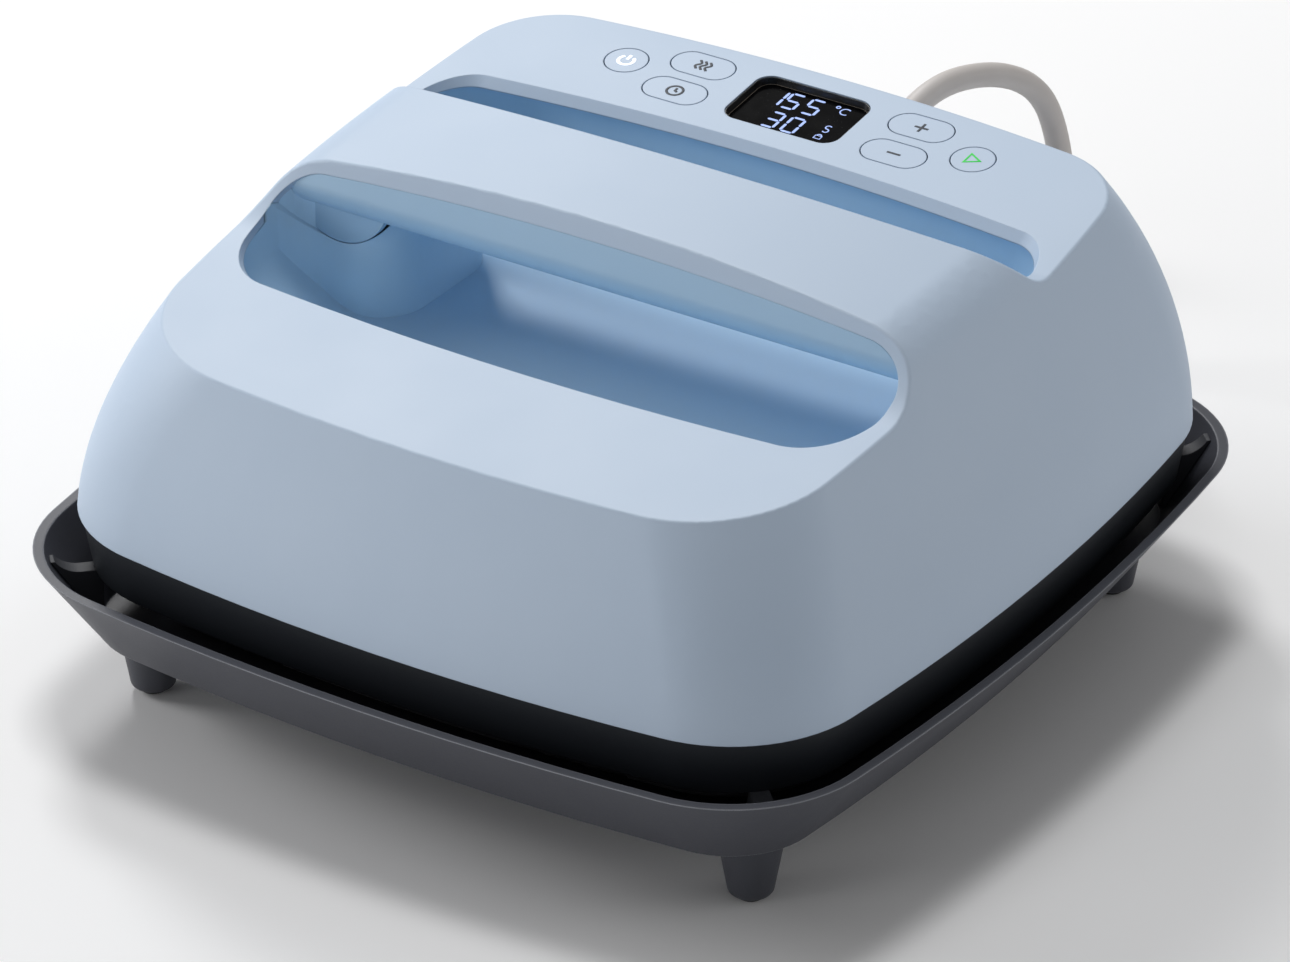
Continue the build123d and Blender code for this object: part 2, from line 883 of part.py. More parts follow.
def chassis_plate():
    """Plate that carries the boards and ties the shell, band and heat plate together."""
    face = base_outline(shell_wall + chassis_gap)
    plate = Pos(0, 0, chassis_base) * extrude(face, amount=chassis_thickness)
    for x, y in post_places():
        plate += Pos(x, y, chassis_top) * Cylinder(post_diameter / 2, post_height, align=stand_up)
    for x, y in square_places(spacer_place):
        plate -= Pos(x, y, chassis_base) * Cylinder(plate_screw_diameter / 2 + screw_clearance, overrun)
    for x, y in boss_places():
        plate -= Pos(x, y, chassis_base) * Cylinder(shell_screw_diameter / 2 + screw_clearance, overrun)
    for x, y, _ in lead_places():
        plate -= Pos(x, y, chassis_base) * Cylinder(lead_diameter / 2 + lead_hole_gap, overrun)
    return plate


def plate_spacers():
    """Four spacers between the heat plate and the chassis."""
    length = chassis_base - plate_top
    tube = Cylinder(spacer_diameter / 2, length, align=stand_up)
    tube -= Cylinder(plate_screw_diameter / 2 + screw_clearance, overrun)
    return [Pos(x, y, plate_top) * tube for x, y in square_places(spacer_place)]


def plate_screws():
    """Four screws through the chassis and spacers into the heat plate."""
    radius = plate_screw_diameter / 2
    length = chassis_top - plate_top + plate_screw_depth
    head = Cylinder(radius * head_share, head_height, align=stand_up)
    shank = Cylinder(radius, length, align=hang_down)
    return [Pos(x, y, chassis_top) * (head + shank) for x, y in square_places(spacer_place)]


def shell_screws():
    """Four screws from under the chassis into the shell's bosses."""
    radius = shell_screw_diameter / 2
    head = Cylinder(radius * head_share, head_height, align=hang_down)
    shank = Cylinder(radius, shell_screw_length, align=stand_up)
    return [Pos(x, y, chassis_base) * (head + shank) for x, y in boss_places()]


def handle_screws():
    """Two sunk screws under the handle."""
    return [place * countersink(0) for place in handle_places()]


power_base = chassis_top + post_height
power_top = power_base + board_thickness


def block(size, x, y):
    """Boxed component on the power board."""
    return Pos(x, y, power_top) * Box(*size, align=stand_up)


def power_board():
    """Mains board on its posts."""
    return Pos(0, power_place, power_base) * Box(power_width, power_depth, board_thickness, align=stand_up)


def ribbon_cable():
    """Flat cable from the power board up to the control board."""
    y = panel_centre + ribbon_row
    tilt = math.radians(top_tilt)
    under = top_height(y) - (board_depth_below + board_thickness) / math.cos(tilt)
    height = under - power_top - ribbon_thickness
    strip = Box(ribbon_width, ribbon_thickness, height, align=stand_up)
    return Pos(ribbon_place, y, power_top) * strip


def heater_leads():
    """Two leads from the element's ends to the power board."""
    solids = []
    for x, y, side in lead_places():
        low = element_axis + element_diameter / 2 + lead_gap
        inner = x + side * lead_reach
        points = [(x, y, low), (x, y, lead_rise), (inner, y, lead_rise), (inner, y, power_top)]
        path = FilletPolyline(*points, radius=lead_turn_radius)
        start = Plane(origin=path @ 0, z_dir=path % 0)
        solids.append(sweep(start * Circle(lead_diameter / 2), path=path))
    return solids


def temperature_sensor():
    """Sensor lying on the heat plate."""
    bulb = Cylinder(sensor_diameter / 2, sensor_length, rotation=(90, 0, 0))
    return Pos(0, 0, plate_top + sensor_diameter / 2) * bulb


def thermal_fuse():
    """Fuse lying on the heat plate."""
    body = Cylinder(fuse_diameter / 2, fuse_length, rotation=(90, 0, 0))
    return Pos(0, fuse_row, plate_top + fuse_diameter / 2) * body


def tray_outline(inset):
    """Outline of the safety base's rim, drawn in by an inset."""
    radius = tray_corner_radius - inset
    half_x, half_y = tray_width / 2 - inset, tray_depth / 2 - inset
    return outline(half_x, half_y, half_y, radius, radius, tray_bow_radius)


tray_foot = tray_height - tray_wall_drop
tray_inside = tray_foot + tray_floor


def tray_cavity(gap):
    """Space inside the safety base, drawn in by a gap."""
    draw = tray_wall_draw * (tray_height - tray_inside) / tray_wall_drop
    top = Pos(0, 0, tray_height) * tray_outline(tray_rim + gap)
    return loft([top, Pos(0, 0, tray_inside) * tray_outline(tray_rim + draw + gap)], ruled=True)


def leg_places():
    """Places of the four legs."""
    return [(i * leg_column, j * leg_row) for i in (-1, 1) for j in (-1, 1)]


def base_tray():
    """Dark tray with a sloped wall and four tapered legs."""
    top = Pos(0, 0, tray_height) * tray_outline(0)
    tray = loft([top, Pos(0, 0, tray_foot) * tray_outline(tray_wall_draw)], ruled=True) - tray_cavity(0)
    height = tray_foot + tray_floor / 2 - pad_thickness
    leg = Cone(leg_tip_diameter / 2, leg_top_diameter / 2, height, align=stand_up)
    leg = fillet(leg.edges().group_by(Axis.Z)[0], leg_tip_radius)
    for x, y in leg_places():
        tray += Pos(x, y, pad_thickness) * leg
    rings = [edge for edge in tray.edges() if edge.is_closed]
    roots = [ring for ring in rings if abs((ring @ 0).Z - tray_foot) < tray_floor / 2]
    return fillet(roots, leg_root_radius)


def foot_pads():
    """Soft pads under the legs."""
    pad = Cylinder(pad_diameter / 2, pad_thickness, align=stand_up)
    return [Pos(x, y, 0) * pad for x, y in leg_places()]


def corner_rests():
    """Four fins in the tray's corners that carry the lower band."""
    inset = band_step + band_taper
    half_x, half_y = half_width - inset, half_depth - inset
    corner = half_x - half_y**2 / (2 * shell_bow_radius) + half_y - half_x**2 / (2 * shell_bow_radius)
    opened = math.sin(math.pi / 4 + half_y / shell_bow_radius)
    reach = (corner - press_setback) * math.sqrt(1 / 2) - (shell_corner_radius - inset) * (1 / opened - 1)
    height = shell_base_height - band_height - tray_inside
    slope = (rest_width - rest_top_width) / height / 2
    crest = rest_top_width / 2 - rest_rise * slope
    top = height + rest_rise
    section = [(-rest_width / 2, 0), (rest_width / 2, 0), (crest, top), (-crest, top)]
    side = [(0, 0), (overrun, 0), (overrun, top), (rest_flat, top), (rest_flat, height), (0, height)]
    side = make_face(Plane.XZ * Polyline(*side, close=True))
    hollow = Plane.XZ * Pos(rest_flat, height + rest_rise_radius) * Circle(rest_rise_radius)
    fin = extrude(side - hollow, amount=rest_width, both=True)
    fin = fin & extrude(make_face(Plane.YZ * Polyline(*section, close=True)), amount=overrun)
    space = tray_cavity(rest_gap)
    turns = [math.degrees(math.atan2(j, i)) for i in (-1, 1) for j in (-1, 1)]
    return [(Rot(0, 0, turn) * Pos(reach - rest_overlap, 0, tray_inside) * fin) & space for turn in turns]


cord_radius = cord_diameter / 2
coil_low = cord_radius + tie_thickness + 2 * tie_gap
coil_high = coil_low + coil_pitch


def strain_relief():
    """Tapered sleeve where the cord leaves the rear wall."""
    inner = shell_wall + relief_flange_gap
    flange = Cylinder(relief_flange_diameter / 2, relief_flange, align=stand_up)
    neck = Cylinder(relief_root_diameter / 2, inner + relief_flange, align=hang_down)
    sleeve = Cone(
        relief_root_diameter / 2, relief_tip_diameter / 2, relief_length, align=stand_up
    )
    solid = sleeve + neck + Pos(0, 0, relief_flange_gap) * flange + Pos(0, 0, -inner - relief_flange) * flange
    solid -= Cylinder(cord_radius + relief_bore_gap, 2 * overrun)
    return exit_place(0) * solid


def cord_collar():
    """Collar that keeps the cord from being pulled out."""
    ring = Cylinder(collar_diameter / 2, collar_length, align=hang_down)
    ring -= Cylinder(cord_radius + relief_bore_gap, 2 * overrun)
    return exit_place(-shell_wall - relief_flange_gap - relief_flange) * ring


def exit_point(reach):
    """Point on the cord's exit line."""
    return Vector(*exit_place(reach).position)


def run_tube(points, radius_list):
    """Round cord along straight runs joined by arcs."""
    path = FilletPolyline(*points, radius=radius_list)
    start = Plane(origin=path @ 0, z_dir=path % 0)
    return path, sweep(start * Circle(cord_radius), path=path)


def bend_radii(points):
    """Radius at each inner point from its shorter run and its turn."""
    radii = []
    for before, point, after in zip(points, points[1:], points[2:]):
        first, second = point - before, after - point
        half_turn = math.radians(first.get_angle(second)) / 2
        radii.append(bend_share * min(first.length, second.length) / math.tan(half_turn))
    return radii


def cord_inner():
    """Short stretch of cord inside the press, from the strain relief down to the terminal block."""
    height = power_top + terminal_size[2] + cord_radius + stack_gap
    end = Vector(power_width * terminal_share, power_place + terminal_row, height)
    points = [exit_point(relief_length - cord_sunk_length), exit_point(-cord_inner_bend), end]
    return run_tube(points, bend_radii(points))[1]


def cord_lead():
    """Cord from the strain relief over and down to the coil behind the press."""
    press = Vector(0, press_setback, shell_base_height)
    points = [exit_point(relief_length - cord_sunk_length) + press, exit_point(cord_bend_reach) + press]
    points += [Vector(*point) for point in cord_points]
    points += [Vector(coil_x + lead_last_run + cord_diameter, coil_y - coil_radius, coil_low)]
    points += [Vector(coil_x + cord_diameter, coil_y - coil_radius, coil_low)]
    radii = bend_radii(points)
    path, tube = run_tube(points, radii)
    print("cord lead radii", [round(radius, 1) for radius in radii])
    print("cord lead length", round(path.length, 1))
    section = math.pi * cord_radius**2
    print("cord lead volume", round(tube.volume, 1), "section by length", round(section * path.length, 1))
    return tube


def coil_point(turn):
    """Point on the coil's middle line after a number of turns."""
    reverse = coil_turns + 1 / 4
    radius = coil_radius - coil_pitch * (reverse - abs(turn - reverse))
    climb = min(max(2 * (turn - coil_turns), 0), 1)
    height = coil_low + (coil_high - coil_low) * climb**2 * (3 - 2 * climb)
    angle = -math.pi / 2 - 2 * math.pi * turn
    return Vector(coil_x + radius * math.cos(angle), coil_y + radius * math.sin(angle), height)


def coil_heading(turn):
    """Direction of the coil's middle line after a number of turns."""
    step = 1 / 200
    return (coil_point(turn + step) - coil_point(turn - step)).normalized()


def biarc(start, start_heading, end, end_heading):
    """Two arcs that join two points with given headings."""
    span = end - start
    both = start_heading + end_heading
    square = 2 * (1 - start_heading.dot(end_heading))
    linear = 2 * span.dot(both)
    reach = (-linear + math.sqrt(linear**2 + 4 * square * span.dot(span))) / (2 * square)
    knee_start, knee_end = start + start_heading * reach, end - end_heading * reach
    knee = (knee_start + knee_end) * (1 / 2)
    middle = (knee_end - knee_start).normalized()
    return [Edge.make_tangent_arc(start, start_heading, knee), Edge.make_tangent_arc(knee, middle, end)]


def coil_gap(path):
    """Least gap between stretches of the coil that lie far apart along it."""
    count = round(path.length / cord_radius)
    points = [path @ (i / count) for i in range(count + 1)]
    apart = round(4 * math.pi)
    return min((a - b).length for i, a in enumerate(points) for b in points[i + apart :]) - cord_diameter


def cord_coil():
    """Put-away coil of two layers that spirals in, climbs and spirals out again."""
    quarters = round(4 * (2 * coil_turns + 1 / 2))
    stops = [coil_point(i / 4) for i in range(quarters + 1)]
    headings = [coil_heading(i / 4) for i in range(quarters + 1)]
    headings[0], headings[-1] = Vector(-1, 0, 0), Vector(1, 0, 0)
    edges = [Edge.make_line(stops[0] + Vector(cord_diameter, 0, 0), stops[0])]
    for i in range(quarters):
        edges += biarc(stops[i], headings[i], stops[i + 1], headings[i + 1])
    edges.append(Edge.make_line(stops[-1], stops[-1] + Vector(coil_tail, 0, 0)))
    path = Wire(edges)
    start = Plane(origin=path @ 0, z_dir=path % 0)
    tube = sweep(start * Circle(cord_radius), path=path)
    print("coil least gap", round(coil_gap(path), 3), "length", round(path.length, 1))
    section = math.pi * cord_radius**2
    print("coil volume", round(tube.volume, 1), "section by length", round(section * path.length, 1))
    return tube


def cord_tie():
    """Strap round the coil."""
    inner = coil_radius - coil_pitch * (coil_turns + 1 / 4)
    inner -= (tie_width / 2) ** 2 / (2 * (inner - cord_diameter))
    width = coil_radius - inner + cord_diameter + 2 * tie_gap
    height = coil_high - coil_low + cord_diameter + 2 * tie_gap
    wide, high = width + 2 * tie_thickness, height + 2 * tie_thickness
    outer = RectangleRounded(wide, high, cord_radius + tie_thickness)
    ring = outer - RectangleRounded(width, height, cord_radius)
    place = Pos(coil_x + (coil_radius + inner) / 2, coil_y, (coil_high + coil_low) / 2)
    return place * extrude(Plane.XZ * ring, amount=tie_width / 2, both=True)


def plug_place():
    """Place of the plug at the coil's end, with its local Z along the plug."""
    start = (coil_x + coil_tail, coil_y + coil_radius, coil_high)
    plane = Plane(origin=start, x_dir=(0, 1, 0), z_dir=(1, 0, 0))
    return plane.location


def plug_body():
    """Moulded plug lying behind the press."""
    root = RectangleRounded(plug_root, plug_root, plug_corner_radius)
    face = RectangleRounded(plug_width, plug_width, plug_corner_radius)
    return plug_place() * loft([root, Pos(0, 0, plug_length) * face], ruled=True)


def plug_pins():
    """Two flat pins and a round earth pin."""
    flat = Box(pin_thickness, pin_width, pin_length, align=stand_up)
    rise = earth_pin_offset / 2
    pins = [Pos(i * pin_pitch / 2, rise, plug_length) * flat for i in (-1, 1)]
    earth = Cylinder(earth_pin_diameter / 2, pin_length, align=stand_up)
    pins.append(Pos(0, -rise, plug_length) * earth)
    return [plug_place() * pin for pin in pins]


space = open_form()
press_pieces = {
    "upper_shell": upper_shell(),
    "handle_liner": handle_liner(space),
    "handle_underside": handle_underside(space),
    "handle_screws": handle_screws(),
    "lower_band": lower_band(),
    "heat_plate": heat_plate(),
    "heating_element": heating_element(),
    "element_bars": element_bars(),
    "insulation_blanket": insulation_blanket(),
    "heat_shield": heat_shield(),
    "chassis_plate": chassis_plate(),
    "plate_spacers": plate_spacers(),
    "plate_screws": plate_screws(),
    "shell_screws": shell_screws(),
    "control_board": control_board(),
    "board_screws": board_screws(),
    "key_switches": key_switches(),
    "display_bezel": display_bezel(),
    "display_window": display_window(),
    "display_module": display_module(),
    "buzzer": buzzer(),
    "power_board": power_board(),
    "relay": block(relay_size, -power_width * relay_share, power_place),
    "capacitor": block(capacitor_size, -power_width * capacitor_share, power_place - capacitor_row),
    "supply_module": block(supply_size, power_width * supply_share, power_place),
    "terminal_block": block(terminal_size, power_width * terminal_share, power_place + terminal_row),
    "ribbon_cable": ribbon_cable(),
    "heater_leads": heater_leads(),
    "temperature_sensor": temperature_sensor(),
    "thermal_fuse": thermal_fuse(),
    "strain_relief": strain_relief(),
    "cord_collar": cord_collar(),
    "cord_inner": cord_inner(),
}
press_pieces.update({name + "_key": key(name) for name in key_places})
base_pieces = {
    "base_tray": base_tray(),
    "foot_pads": foot_pads(),
    "corner_rests": corner_rests(),
    "cord_lead": cord_lead(),
    "cord_coil": cord_coil(),
    "cord_tie": cord_tie(),
    "plug_body": plug_body(),
    "plug_pins": plug_pins(),
}


def seated(piece):
    """A press piece, or each solid of a group, moved to its place on the safety base."""
    return [seat_press * solid for solid in piece] if isinstance(piece, list) else seat_press * piece


def whole(piece):
    """One shape for a piece that is a solid or a group of solids."""
    return Compound(children=list(piece)) if isinstance(piece, list) else piece


pieces = {name: whole(seated(piece)) for name, piece in press_pieces.items()}
pieces.update({name: whole(piece) for name, piece in base_pieces.items()})
for name, piece in pieces.items():
    export_step(piece, "parts/" + name + ".step")
    print(name, len(piece.solids()), round(piece.volume, 2))
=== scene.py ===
"""Studio picture of a handheld heat press on its safety base, with its mains cord.

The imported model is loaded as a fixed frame. Its moulded pieces are carried over with smooth
shading and procedural finishes, and the marks, digits, ribs and cord are made around them.
"""

import logging
import math
from collections.abc import Iterable, Mapping, Sequence
from dataclasses import dataclass, field
from enum import Enum

import bmesh
import bpy
from mathutils import Matrix, Vector


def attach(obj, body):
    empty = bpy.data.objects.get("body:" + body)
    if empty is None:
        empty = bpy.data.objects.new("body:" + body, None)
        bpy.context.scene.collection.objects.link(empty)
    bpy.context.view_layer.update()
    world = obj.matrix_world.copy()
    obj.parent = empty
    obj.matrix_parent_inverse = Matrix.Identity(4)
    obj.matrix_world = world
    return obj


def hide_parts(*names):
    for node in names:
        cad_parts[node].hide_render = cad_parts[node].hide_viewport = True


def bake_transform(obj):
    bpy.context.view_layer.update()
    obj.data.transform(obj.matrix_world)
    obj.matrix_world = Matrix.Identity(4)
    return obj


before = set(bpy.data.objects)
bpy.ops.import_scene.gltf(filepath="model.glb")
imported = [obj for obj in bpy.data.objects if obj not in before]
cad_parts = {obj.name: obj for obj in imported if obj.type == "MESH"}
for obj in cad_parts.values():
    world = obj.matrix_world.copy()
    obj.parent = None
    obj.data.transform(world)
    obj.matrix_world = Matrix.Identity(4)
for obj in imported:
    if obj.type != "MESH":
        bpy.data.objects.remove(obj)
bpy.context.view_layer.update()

LOG = logging.getLogger("heat_press")
MM = 0.001
PHOTO_WIDTH = 1290
LAMP_AIM = (0, 0, 60)
WELD_GAP = 0.001 * MM
SLIVER = 0.0005 * MM

# Finer layers in a noise pattern, and the middle of its range
PLAIN, SOFT, FINE, RICH = 1.0, 2.0, 3.0, 4.0
MIDDLE = 0.5

Colour = tuple[float, float, float, float]
Point = tuple[float, float]
Place = tuple[float, float, float]
Stroke = tuple[Sequence[Sequence[float]], bool]
Socket = bpy.types.NodeSocket


class Body(Enum):
    """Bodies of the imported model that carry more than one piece."""

    PRESS = "press"
    BASE = "safety_base"


def paint(red: int, green: int, blue: int) -> Colour:
    """Linear colour of a screen colour.

    Args:
        red: Red from 0 to 255.
        green: Green from 0 to 255.
        blue: Blue from 0 to 255.

    Returns:
        The colour with full alpha, as a shader takes it.
    """
    linear = []
    for channel in (red, green, blue):
        share = channel / 255
        linear.append(share / 12.92 if share <= 0.04045 else ((share + 0.055) / 1.055) ** 2.4)
    return (*linear, 1.0)


# Node trees


class Tree:
    """A node tree that is built one node at a time."""

    def __init__(self, tree: bpy.types.NodeTree) -> None:
        """Keeps the tree that the nodes go into."""
        self.tree = tree

    def node(self, kind: str, settings: Mapping, sockets: Mapping) -> bpy.types.Node:
        """Adds a node.

        Args:
            kind: Type of the node.
            settings: Its properties, which are set first.
            sockets: Values or links of its inputs, by name or number.

        Returns:
            The new node.
        """
        made = self.tree.nodes.new(kind)
        for key, value in settings.items():
            setattr(made, key, value)
        for key, value in sockets.items():
            self.feed(made.inputs[key], value)
        return made

    def feed(self, socket: Socket, value: object) -> None:
        """Gives an input its value or its link.

        Args:
            socket: The input.
            value: A number, a colour, a datablock, an output or a shader value.
        """
        if isinstance(value, Value):
            value = value.socket
        if isinstance(value, bpy.types.NodeSocket):
            self.tree.links.new(value, socket)
        else:
            socket.default_value = value


class Value:
    """A number in a shader that takes part in Python arithmetic."""

    def __init__(self, graph: Tree, socket: Socket) -> None:
        """Wraps the output that gives the number."""
        self.graph = graph
        self.socket = socket

    def combine(self, operation: str, first: object, second: object) -> "Value":
        """Adds a Math node.

        Args:
            operation: What the node does.
            first: Its first number.
            second: Its second number.

        Returns:
            The node's result.
        """
        made = self.graph.node("ShaderNodeMath", {"operation": operation}, {0: first, 1: second})
        return Value(self.graph, made.outputs[0])

    def __add__(self, other: object) -> "Value":
        """This number plus another."""
        return self.combine("ADD", self, other)

    def __radd__(self, other: object) -> "Value":
        """Another number plus this one."""
        return self.combine("ADD", other, self)

    def __sub__(self, other: object) -> "Value":
        """This number less another."""
        return self.combine("SUBTRACT", self, other)

    def __rsub__(self, other: object) -> "Value":
        """Another number less this one."""
        return self.combine("SUBTRACT", other, self)

    def __mul__(self, other: object) -> "Value":
        """This number times another."""
        return self.combine("MULTIPLY", self, other)

    def __rmul__(self, other: object) -> "Value":
        """Another number times this one."""
        return self.combine("MULTIPLY", other, self)

    def __gt__(self, other: object) -> "Value":
        """One where this number is above another, and zero elsewhere."""
        return self.combine("GREATER_THAN", self, other)


class Graph(Tree):
    """Node tree of one material, round a Principled shader."""

    def __init__(self, name: str) -> None:
        """Starts a material with its shader and output."""
        self.material = bpy.data.materials.new(name)
        self.material.use_nodes = True
        super().__init__(self.material.node_tree)
        self.tree.nodes.clear()
        self.shader = self.node("ShaderNodeBsdfPrincipled", {}, {})
        surface = {"Surface": self.shader.outputs["BSDF"]}
        self.node("ShaderNodeOutputMaterial", {}, surface)
        self.coordinates = self.node("ShaderNodeTexCoord", {}, {}).outputs["Object"]

    def noise(self, size: float, detail: float, stretch: Sequence[float] = (1, 1, 1)) -> Value:
        """Smooth random pattern.

        Args:
            size: Size of its lumps in metres.
            detail: How many finer layers it has.
            stretch: How much the pattern is squeezed along each axis.

        Returns:
            The pattern, from 0 to 1.
        """
        place = self.node("ShaderNodeMapping", {}, {"Vector": self.coordinates, "Scale": stretch})
        sockets = {"Vector": place.outputs[0], "Scale": 1 / size, "Detail": detail}
        return Value(self, self.node("ShaderNodeTexNoise", {}, sockets).outputs[0])

    def mix(self, share: object, first: object, second: object) -> Socket:
        """Colour between two colours.

        Args:
            share: How much of the second there is.
            first: Colour at 0.
            second: Colour at 1.

        Returns:
            The mixed colour.
        """
        settings = {"data_type": "RGBA", "clamp_factor": True}
        made = self.node("ShaderNodeMix", settings, {0: share, 6: first, 7: second})
        return made.outputs[2]

    def broken_edge(self, radius: float) -> Socket:
        """Normal of a surface whose sharp edges are rounded off to a radius in metres."""
        return self.node("ShaderNodeBevel", {"samples": 6}, {"Radius": radius}).outputs["Normal"]

    def edge_mask(self, rounded: Socket) -> Value:
        """How near a sharp edge is.

        Args:
            rounded: Normal with its edges rounded off.

        Returns:
            0 on an even surface, and more on an edge.
        """
        flat = self.node("ShaderNodeNewGeometry", {}, {}).outputs["Normal"]
        sockets = {0: rounded, 1: flat}
        made = self.node("ShaderNodeVectorMath", {"operation": "DOT_PRODUCT"}, sockets)
        return 1 - Value(self, made.outputs["Value"])

    def skin(self, height: Value, depth: float, below: Socket) -> Socket:
        """Normal of a surface with a fine relief.

        Args:
            height: The relief's pattern.
            depth: Its depth in metres.
            below: Normal of the surface without it.

        Returns:
            The normal with the relief.
        """
        sockets = {"Height": height, "Distance": depth, "Normal": below}
        return self.node("ShaderNodeBump", {}, sockets).outputs["Normal"]

    def dress(self, **sockets: object) -> bpy.types.Material:
        """Sets the shader's inputs, named with underscores, and returns the material."""
        for key, value in sockets.items():
            self.feed(self.shader.inputs[key.replace("_", " ")], value)
        return self.material


class Former(Tree):
    """Geometry Nodes tree with named inputs, whose result becomes a plain mesh."""

    def __init__(self, name: str, inputs: Mapping[str, str]) -> None:
        """Starts a tree.

        Args:
            name: Name of the tree.
            inputs: Socket type of each named input.
        """
        super().__init__(bpy.data.node_groups.new(name, "GeometryNodeTree"))
        face = self.tree.interface
        self.keys = {}
        for label, kind in {"Geometry": "NodeSocketGeometry", **inputs}.items():
            item = face.new_socket(name=label, in_out="INPUT", socket_type=kind)
            self.keys[label] = item.identifier
        face.new_socket(name="Geometry", in_out="OUTPUT", socket_type="NodeSocketGeometry")
        self.given = self.node("NodeGroupInput", {}, {}).outputs

    def close(self, geometry: Socket) -> None:
        """Ends the tree: real geometry, in its material.

        Args:
            geometry: What the tree has made.
        """
        real = self.node("GeometryNodeRealizeInstances", {}, {0: geometry}).outputs[0]
        sockets = {"Geometry": real, "Material": self.given["Material"]}
        dressed = self.node("GeometryNodeSetMaterial", {}, sockets).outputs[0]
        self.node("NodeGroupOutput", {}, {0: dressed})

    def form(self, piece: bpy.types.Object, **values: object) -> None:
        """Runs the tree on a piece and keeps the result as its mesh.

        Args:
            piece: Object that holds the lines or points to work on.
            values: The tree's named inputs.
        """
        modifier = piece.modifiers.new(self.tree.name, "NODES")
        modifier.node_group = self.tree
        for label, value in values.items():
            modifier[self.keys[label]] = value
        seen = piece.evaluated_get(bpy.context.evaluated_depsgraph_get())
        made = bpy.data.meshes.new_from_object(seen)
        piece.modifiers.clear()
        piece.data = made


def sweep_former() -> Former:
    """Tree that sweeps a round section, which may be flattened, along lines of edges."""
    kinds = {
        "Radius": "NodeSocketFloat",
        "Sides": "NodeSocketInt",
        "Flatness": "NodeSocketFloat",
        "Material": "NodeSocketMaterial",
    }
    former = Former("sweep_along_lines", kinds)
    given = former.given
    line = former.node("GeometryNodeMeshToCurve", {}, {"Mesh": given["Geometry"]})
    sizes = {"Resolution": given["Sides"], "Radius": given["Radius"]}
    section = former.node("GeometryNodeCurvePrimitiveCircle", {}, sizes)
    ends = {"Curve": line.outputs[0], "Profile Curve": section.outputs[0], "Fill Caps": True}
    tube = former.node("GeometryNodeCurveToMesh", {}, ends)
    flat = former.node("ShaderNodeCombineXYZ", {}, {"X": 1.0, "Y": 1.0, "Z": given["Flatness"]})
    sockets = {"Geometry": tube.outputs[0], "Scale": flat.outputs[0]}
    former.close(former.node("GeometryNodeTransform", {}, sockets).outputs[0])
    return former


def repeat_former() -> Former:
    """Tree that sets a copy of one piece on each point, turned and scaled as the point says."""
    kinds = {"Piece": "NodeSocketObject", "Material": "NodeSocketMaterial"}
    former = Former("repeat_on_points", kinds)
    given = former.given
    single = former.node("GeometryNodeObjectInfo", {}, {"Object": given["Piece"]})
    kind = {"data_type": "FLOAT_VECTOR"}
    turn = former.node("GeometryNodeInputNamedAttribute", kind, {"Name": "turn"})
    scale = former.node("GeometryNodeInputNamedAttribute", kind, {"Name": "scale"})
    angle = former.node("FunctionNodeEulerToRotation", {}, {0: turn.outputs[0]})
    sockets = {
        "Points": given["Geometry"],
        "Instance": single.outputs["Geometry"],
        "Rotation": angle.outputs[0],
        "Scale": scale.outputs[0],
    }
    former.close(former.node("GeometryNodeInstanceOnPoints", {}, sockets).outputs[0])
    return former


# Finishes


@dataclass(frozen=True)
class MouldedPlastic:
    """Moulded plastic or rubber with a fine skin, faint clouds, softly broken edges and, if asked,
    a painted edge highlight.
    """

    name: str
    base: Colour
    shade: Colour
    roughness: float
    grain: float = 0.5 * MM
    relief: float = 0.006 * MM
    edge: float = 0.45 * MM
    # Painted highlight along sharp edges: its colour, its least and swaying share in patches, and
    # its strength
    edge_highlight: Colour | None = None
    highlight_least: float = 0.6
    highlight_sway: float = 0.8
    highlight_gain: float = 3.0
    cloud: float = 35 * MM
    cloud_sway: float = 0.10
    grain_sway: float = 0.08

    def build(self) -> bpy.types.Material:
        """Makes the material."""
        graph = Graph(self.name)
        clouds = graph.noise(self.cloud, FINE)
        grain = graph.noise(self.grain, SOFT)
        rounded = graph.broken_edge(self.edge)
        colour = graph.mix(clouds, self.base, self.shade)
        # Painted highlight: sharp edges are lightened in patches towards the highlight colour,
        # standing for light glancing off rounded rims
        if self.edge_highlight:
            highlight_patches = self.highlight_least + self.highlight_sway * clouds
            painted_highlight = graph.edge_mask(rounded) * highlight_patches * self.highlight_gain
            colour = graph.mix(painted_highlight, colour, self.edge_highlight)
        roughness = self.roughness + self.cloud_sway * (clouds - MIDDLE)
        roughness = roughness + self.grain_sway * (grain - MIDDLE)
        normal = graph.skin(grain, self.relief, rounded)
        return graph.dress(Base_Color=colour, Roughness=roughness, Normal=normal)


@dataclass(frozen=True)
class BrushedMetal:
    """Metal with fine brushing along one axis."""

    name: str
    base: Colour
    shade: Colour
    roughness: float
    along: Place = (0.04, 1.0, 1.0)
    stroke: float = 0.25 * MM
    cloud: float = 20 * MM
    relief: float = 0.004 * MM
    edge: float = 0.3 * MM
    line_share: float = 0.6
    cloud_share: float = 0.4
    line_sway: float = 0.16
    cloud_sway: float = 0.1

    def build(self) -> bpy.types.Material:
        """Makes the material."""
        graph = Graph(self.name)
        lines = graph.noise(self.stroke, FINE, self.along)
        clouds = graph.noise(self.cloud, FINE)
        share = self.line_share * lines + self.cloud_share * clouds
        colour = graph.mix(share, self.base, self.shade)
        roughness = self.roughness + self.line_sway * (lines - MIDDLE)
        roughness = roughness + self.cloud_sway * (clouds - MIDDLE)
        normal = graph.skin(lines, self.relief, graph.broken_edge(self.edge))
        return graph.dress(Base_Color=colour, Roughness=roughness, Metallic=1.0, Normal=normal)


